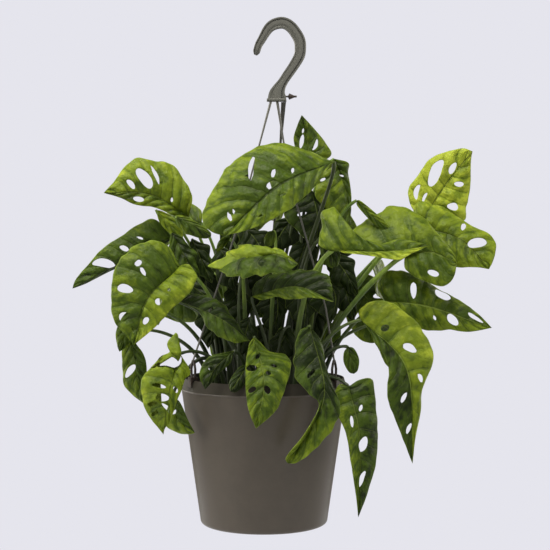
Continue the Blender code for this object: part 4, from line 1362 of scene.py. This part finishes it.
# %% Leaves at the back
# The word back swaps a leaf's two margins, which turns its upper face to the other side.
LEAVES["back_left"] = dict(
    line=((-50, 250, 62), (-78, 240, 84), (-100, 206, 92)),
    left=((-62, 272, 66), (-90, 256, 78), (-104, 228, 88)),
    right=((-40, 228, 70), (-58, 208, 84), (-80, 200, 92)),
    windows=((-86, 248, 7, 3), (-64, 220, 6, 2.6), (-94, 226, 5, 2)),
    foot=(-22, 48), lift=70, tones=(0.35, 0.42), back=True,
)
LEAVES["back_middle"] = dict(
    line=((14, 262, 66), (6, 246, 92), (-4, 205, 104)),
    left=((40, 254, 76), (34, 226, 94), (14, 208, 102)),
    right=((-12, 262, 76), (-20, 236, 92), (-16, 214, 100)),
    windows=((22, 240, 7, 3), (-8, 244, 6, 2.6), (-10, 222, 5, 2)),
    foot=(6, 54), lift=70, tones=(0.42, 0.36), back=True,
)
LEAVES["back_right"] = dict(
    line=((84, 236, 62), (106, 222, 82), (122, 182, 88)),
    left=((100, 250, 64), (124, 232, 76), (130, 204, 84)),
    right=((80, 214, 74), (90, 190, 84), (104, 180, 88)),
    windows=((116, 228, 7, 3), (94, 206, 6, 2.6), (118, 206, 5, 2)),
    foot=(36, 46), lift=60, tones=(0.38, 0.46), back=True,
)
print("leaves so far:", len(LEAVES))

# %% [markdown]
# ## Small leaves between the big ones
# The CAD model keeps to the leaves that show their shape. The real plant also has short young
# leaves and stalks packed between them and behind, so those are added here, inside the same
# outline. A scatter of one leaf could fill the gaps too, but the ones that show have their own
# shape. The dark ones deep inside share one simple outline, with ragged margins, and are painted
# dark with the shade that lies deep in the plant.

# %% Small leaves that show from the front
SMALL_LEAVES = dict(
    left_inner=dict(
        line=((-88, 306, 0), (-70, 298, -4), (-53, 286.7, -6)),
        left=((-79, 306), (-64, 298.6), (-54, 291)), right=((-79, 292), (-68, 286), (-58, 284.5)),
        foot=(-24, 34), lift=90, tones=(0.45, 0.30),
    ),
    left_base=dict(
        line=((-108, 313, 6), (-94, 298, 4), (-82, 281, 2)),
        left=((-104, 300), (-92, 288)), right=((-100, 311), (-86, 302), (-81, 290)),
        foot=(-40, 14), lift=90, tones=(0.55, 0.62),
    ),
    tip_behind=dict(
        line=((-130, 215, -30), (-137, 194, -32), (-144.7, 171.4, -34)),
        left=((-126, 206), (-130, 188), (-138, 176)), right=((-140, 208), (-148, 192), (-147, 178)),
        foot=(-50, 2), lift=60, tones=(0.30, 0.36),
    ),
    right_behind=dict(
        line=((54, 262, 20), (72, 276, 16), (92, 278, 8)),
        left=((58, 272), (74, 287), (88, 284)), right=((62, 258), (78, 264), (90, 271)),
        foot=(34, 18), lift=90, tones=(0.12, 0.18), shaded_stalk=True,
    ),
    front_behind=dict(
        line=((-16, 158, -66), (-24, 146, -82), (-33, 131, -90)),
        left=((-14, 150), (-20, 138), (-28, 131)), right=((-24, 156), (-32, 146), (-35, 137)),
        foot=(-6, -52), lift=24, tones=(0.0, 0.06), shaded_stalk=True,
    ),
    hanging_small=dict(
        line=((84, 176, -54), (87, 163, -59), (90, 149, -60)),
        left=((90, 174), (95, 164), (94, 153)), right=((80, 170), (80, 160), (85, 151)),
        foot=(50, -30), lift=36, tones=(0.22, 0.32),
    ),
    young_middle=dict(
        line=((10, 292, -30), (5, 284, -34), (2, 276, -36)),
        left=((12, 286), (9, 278)), right=((4, 291), (0, 283)),
        foot=(6, -14), lift=110, tones=(0.40, 0.30),
    ),
    young_left=dict(
        line=((-34, 284, -20), (-42, 279, -24), (-48, 272, -26)),
        left=((-40, 276), (-46, 271)), right=((-36, 288), (-45, 282)),
        foot=(-18, -10), lift=110, tones=(0.44, 0.30),
    ),
    dark_right=dict(
        line=((58, 286, -24), (66, 271, -30), (70, 256, -32)),
        left=((68, 284), (76, 270), (74, 258)), right=((56, 276), (58, 264), (65, 256)),
        foot=(32, -14), lift=100, tones=(0.14, 0.20), shaded_stalk=True,
    ),
    spear=dict(
        line=((92.5, 322.5, -14), (114, 302, -20), (138, 283.5, -24)),
        left=((98, 321), (119, 303), (134, 288)), right=((94, 316), (110, 299), (130, 284)),
        foot=(44, -2), lift=110, tones=(0.62, 0.40),
    ),
)
print("small leaves in front:", len(SMALL_LEAVES))

# %% Small leaves at the sides and the back
SMALL_LEAVES.update(
    side_left=dict(
        line=((-92, 236, 12), (-98, 232, 44), (-102, 206, 78)),
        left=((-86, 252, 26), (-92, 250, 52), (-100, 226, 76)),
        right=((-98, 218, 20), (-104, 208, 46), (-106, 198, 70)),
        foot=(-46, 22), lift=60, tones=(0.34, 0.42), back=True,
    ),
    side_left_high=dict(
        line=((-62, 300, 24), (-84, 306, 50), (-100, 286, 84)),
        left=((-64, 314, 30), (-86, 322, 58), (-100, 302, 82)),
        right=((-66, 288, 32), (-84, 288, 58), (-98, 276, 80)),
        foot=(-34, 32), lift=90, tones=(0.40, 0.46), back=True,
    ),
    side_right=dict(
        line=((112, 246, 10), (122, 244, 44), (126, 216, 80)),
        left=((108, 262, 24), (118, 262, 50), (124, 238, 78)),
        right=((112, 230, 18), (120, 222, 46), (126, 206, 72)),
        foot=(52, 20), lift=50, tones=(0.34, 0.44), back=True,
    ),
    side_right_low=dict(
        line=((114, 200, 38), (127, 190, 60), (134, 157, 82)),
        left=((123, 206, 44), (137, 193, 64), (139, 169, 80)),
        right=((109, 187, 44), (115, 173, 64), (124, 156, 78)),
        foot=(50, 34), lift=40, tones=(0.34, 0.36), back=True,
    ),
    rear_top=dict(
        line=((22, 318, 46), (8, 326, 70), (-14, 306, 96)),
        left=((26, 334, 52), (4, 346, 72), (-16, 326, 94)),
        right=((16, 302, 56), (6, 302, 80), (-8, 292, 96)),
        windows=((4, 338, 6, 2.4), (6, 310, 5, 2)), foot=(12, 40), lift=120,
        tones=(0.46, 0.38), back=True,
    ),
    rear_low=dict(
        line=((-18, 206, 70), (-34, 196, 88), (-44, 160, 100)),
        left=((-26, 216, 72), (-50, 200, 86), (-54, 172, 96)),
        right=((-16, 192, 78), (-24, 174, 94), (-36, 156, 100)),
        windows=((-44, 192, 6, 2.2), (-26, 180, 5, 2)), foot=(-14, 52), lift=44,
        tones=(0.36, 0.44), back=True,
    ),
    rear_right=dict(
        line=((44, 214, 72), (56, 206, 90), (66, 166, 102)),
        left=((50, 226, 74), (74, 208, 90), (76, 180, 98)),
        right=((38, 200, 80), (44, 182, 96), (56, 164, 102)),
        windows=((64, 202, 6, 2.2), (48, 188, 5, 2)), foot=(22, 52), lift=44,
        tones=(0.44, 0.38), back=True,
    ),
    rear_tall=dict(
        line=((54, 296, 40), (70, 304, 62), (88, 282, 88)),
        left=((54, 310, 44), (74, 320, 66), (92, 298, 86)),
        right=((56, 284, 46), (70, 284, 70), (82, 272, 88)),
        foot=(28, 36), lift=110, tones=(0.34, 0.44), back=True,
    ),
)
print("with the sides and the back:", len(SMALL_LEAVES))

# %% Dark leaves inside
INNER_OUTLINE = ((0.12, 0.55), (0.4, 1.0), (0.75, 0.6))  # shares of the length and half width
INNER_LEAVES = (  # base, belly, tip, half width, foot and tone
    ((-92, 290, 4), (-78, 264, -2), (-66, 236, -6), 13, (-32, 2), 0.32),
    ((-72, 284, 8), (-62, 262, 2), (-52, 240, -2), 12, (-26, 10), 0.16),
    ((-46, 276, 6), (-34, 258, -6), (-30, 232, -10), 15, (-16, -8), 0.06),
    ((-20, 296, 14), (-6, 280, 4), (4, 256, 0), 16, (-4, 4), 0.03),
    ((28, 304, 18), (16, 288, 10), (8, 266, 4), 15, (12, 8), 0.06),
    ((-30, 240, 4), (-24, 216, -4), (-26, 186, -8), 16, (-20, -10), 0.02),
    ((6, 244, 0), (14, 220, -10), (10, 188, -16), 17, (8, -10), 0.03),
    ((34, 252, -2), (42, 226, -12), (40, 192, -20), 16, (28, -12), 0.03),
    ((60, 246, -6), (72, 226, -16), (66, 198, -24), 14, (38, -16), 0.08),
    ((-56, 226, 2), (-50, 200, -6), (-56, 174, -10), 13, (-32, -12), 0.05),
    ((44, 286, 8), (36, 264, -2), (30, 240, -8), 15, (22, -2), 0.03),
    ((-14, 206, -14), (-20, 184, -24), (-28, 164, -30), 14, (-12, -22), 0.02),
    ((66, 270, 14), (82, 250, 6), (94, 226, 0), 14, (40, 0), 0.12),
    ((26, 196, -22), (16, 176, -34), (12, 154, -40), 14, (12, -36), 0.04),
    ((-66, 262, 18), (-58, 240, 10), (-56, 214, 6), 14, (-28, 12), 0.05),
    ((-10, 262, 30), (0, 240, 24), (-6, 206, 20), 19, (-6, 22), 0.01),
    ((30, 270, 34), (26, 240, 26), (32, 206, 22), 19, (14, 24), 0.01),
    ((76, 250, 10), (84, 226, 4), (90, 200, 0), 12, (44, 10), 0.10),
    ((-36, 220, 26), (-30, 196, 20), (-36, 168, 16), 17, (-24, 18), 0.01),
    ((48, 222, 22), (50, 198, 14), (44, 168, 10), 16, (30, 14), 0.02),
    ((4, 200, 20), (8, 180, 14), (2, 156, 10), 18, (2, 14), 0.01),
    ((62, 318, 22), (52, 300, 16), (48, 274, 12), 13, (28, 14), 0.05),
    ((-36, 300, 24), (-26, 288, 18), (-22, 266, 14), 13, (-10, 16), 0.05),
)
for count, (base, belly, tip, half, foot, tone) in enumerate(INNER_LEAVES):
    way = (Vector(tip) - Vector(base)).xy.normalized()
    beside = Vector((-way.y, way.x)) * half
    left, right = [], []
    for share, wide in INNER_OUTLINE:
        spot = Vector(base).lerp(Vector(tip), share).xy
        left.append(tuple(spot + beside * wide))
        right.append(tuple(spot - beside * wide))
    # Their tones lie below 0: painted shade deep in the plant.
    SMALL_LEAVES[f"inner_{count}"] = dict(
        line=(base, belly, tip), left=left, right=right, foot=foot, lift=60,
        tones=(tone - 0.20, tone - 0.12), shaded_stalk=True, ragged=0.45,
    )
print("with the dark ones inside:", len(SMALL_LEAVES))

# %% Grow them all
face_count = 0
for name, leaf in (*LEAVES.items(), *SMALL_LEAVES.items()):
    blade, at = grow_leaf(name, leaf)
    stalk = grow_stalk(name, leaf, at)
    if name in LEAVES:
        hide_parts("leaf_" + name)
        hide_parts("petiole_" + name)
    for piece, slot in ((blade, "leaf"), (stalk, "petiole")):
        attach(piece, "root")
        face_count += len(piece.data.polygons)
print("leaf and stalk faces:", face_count)
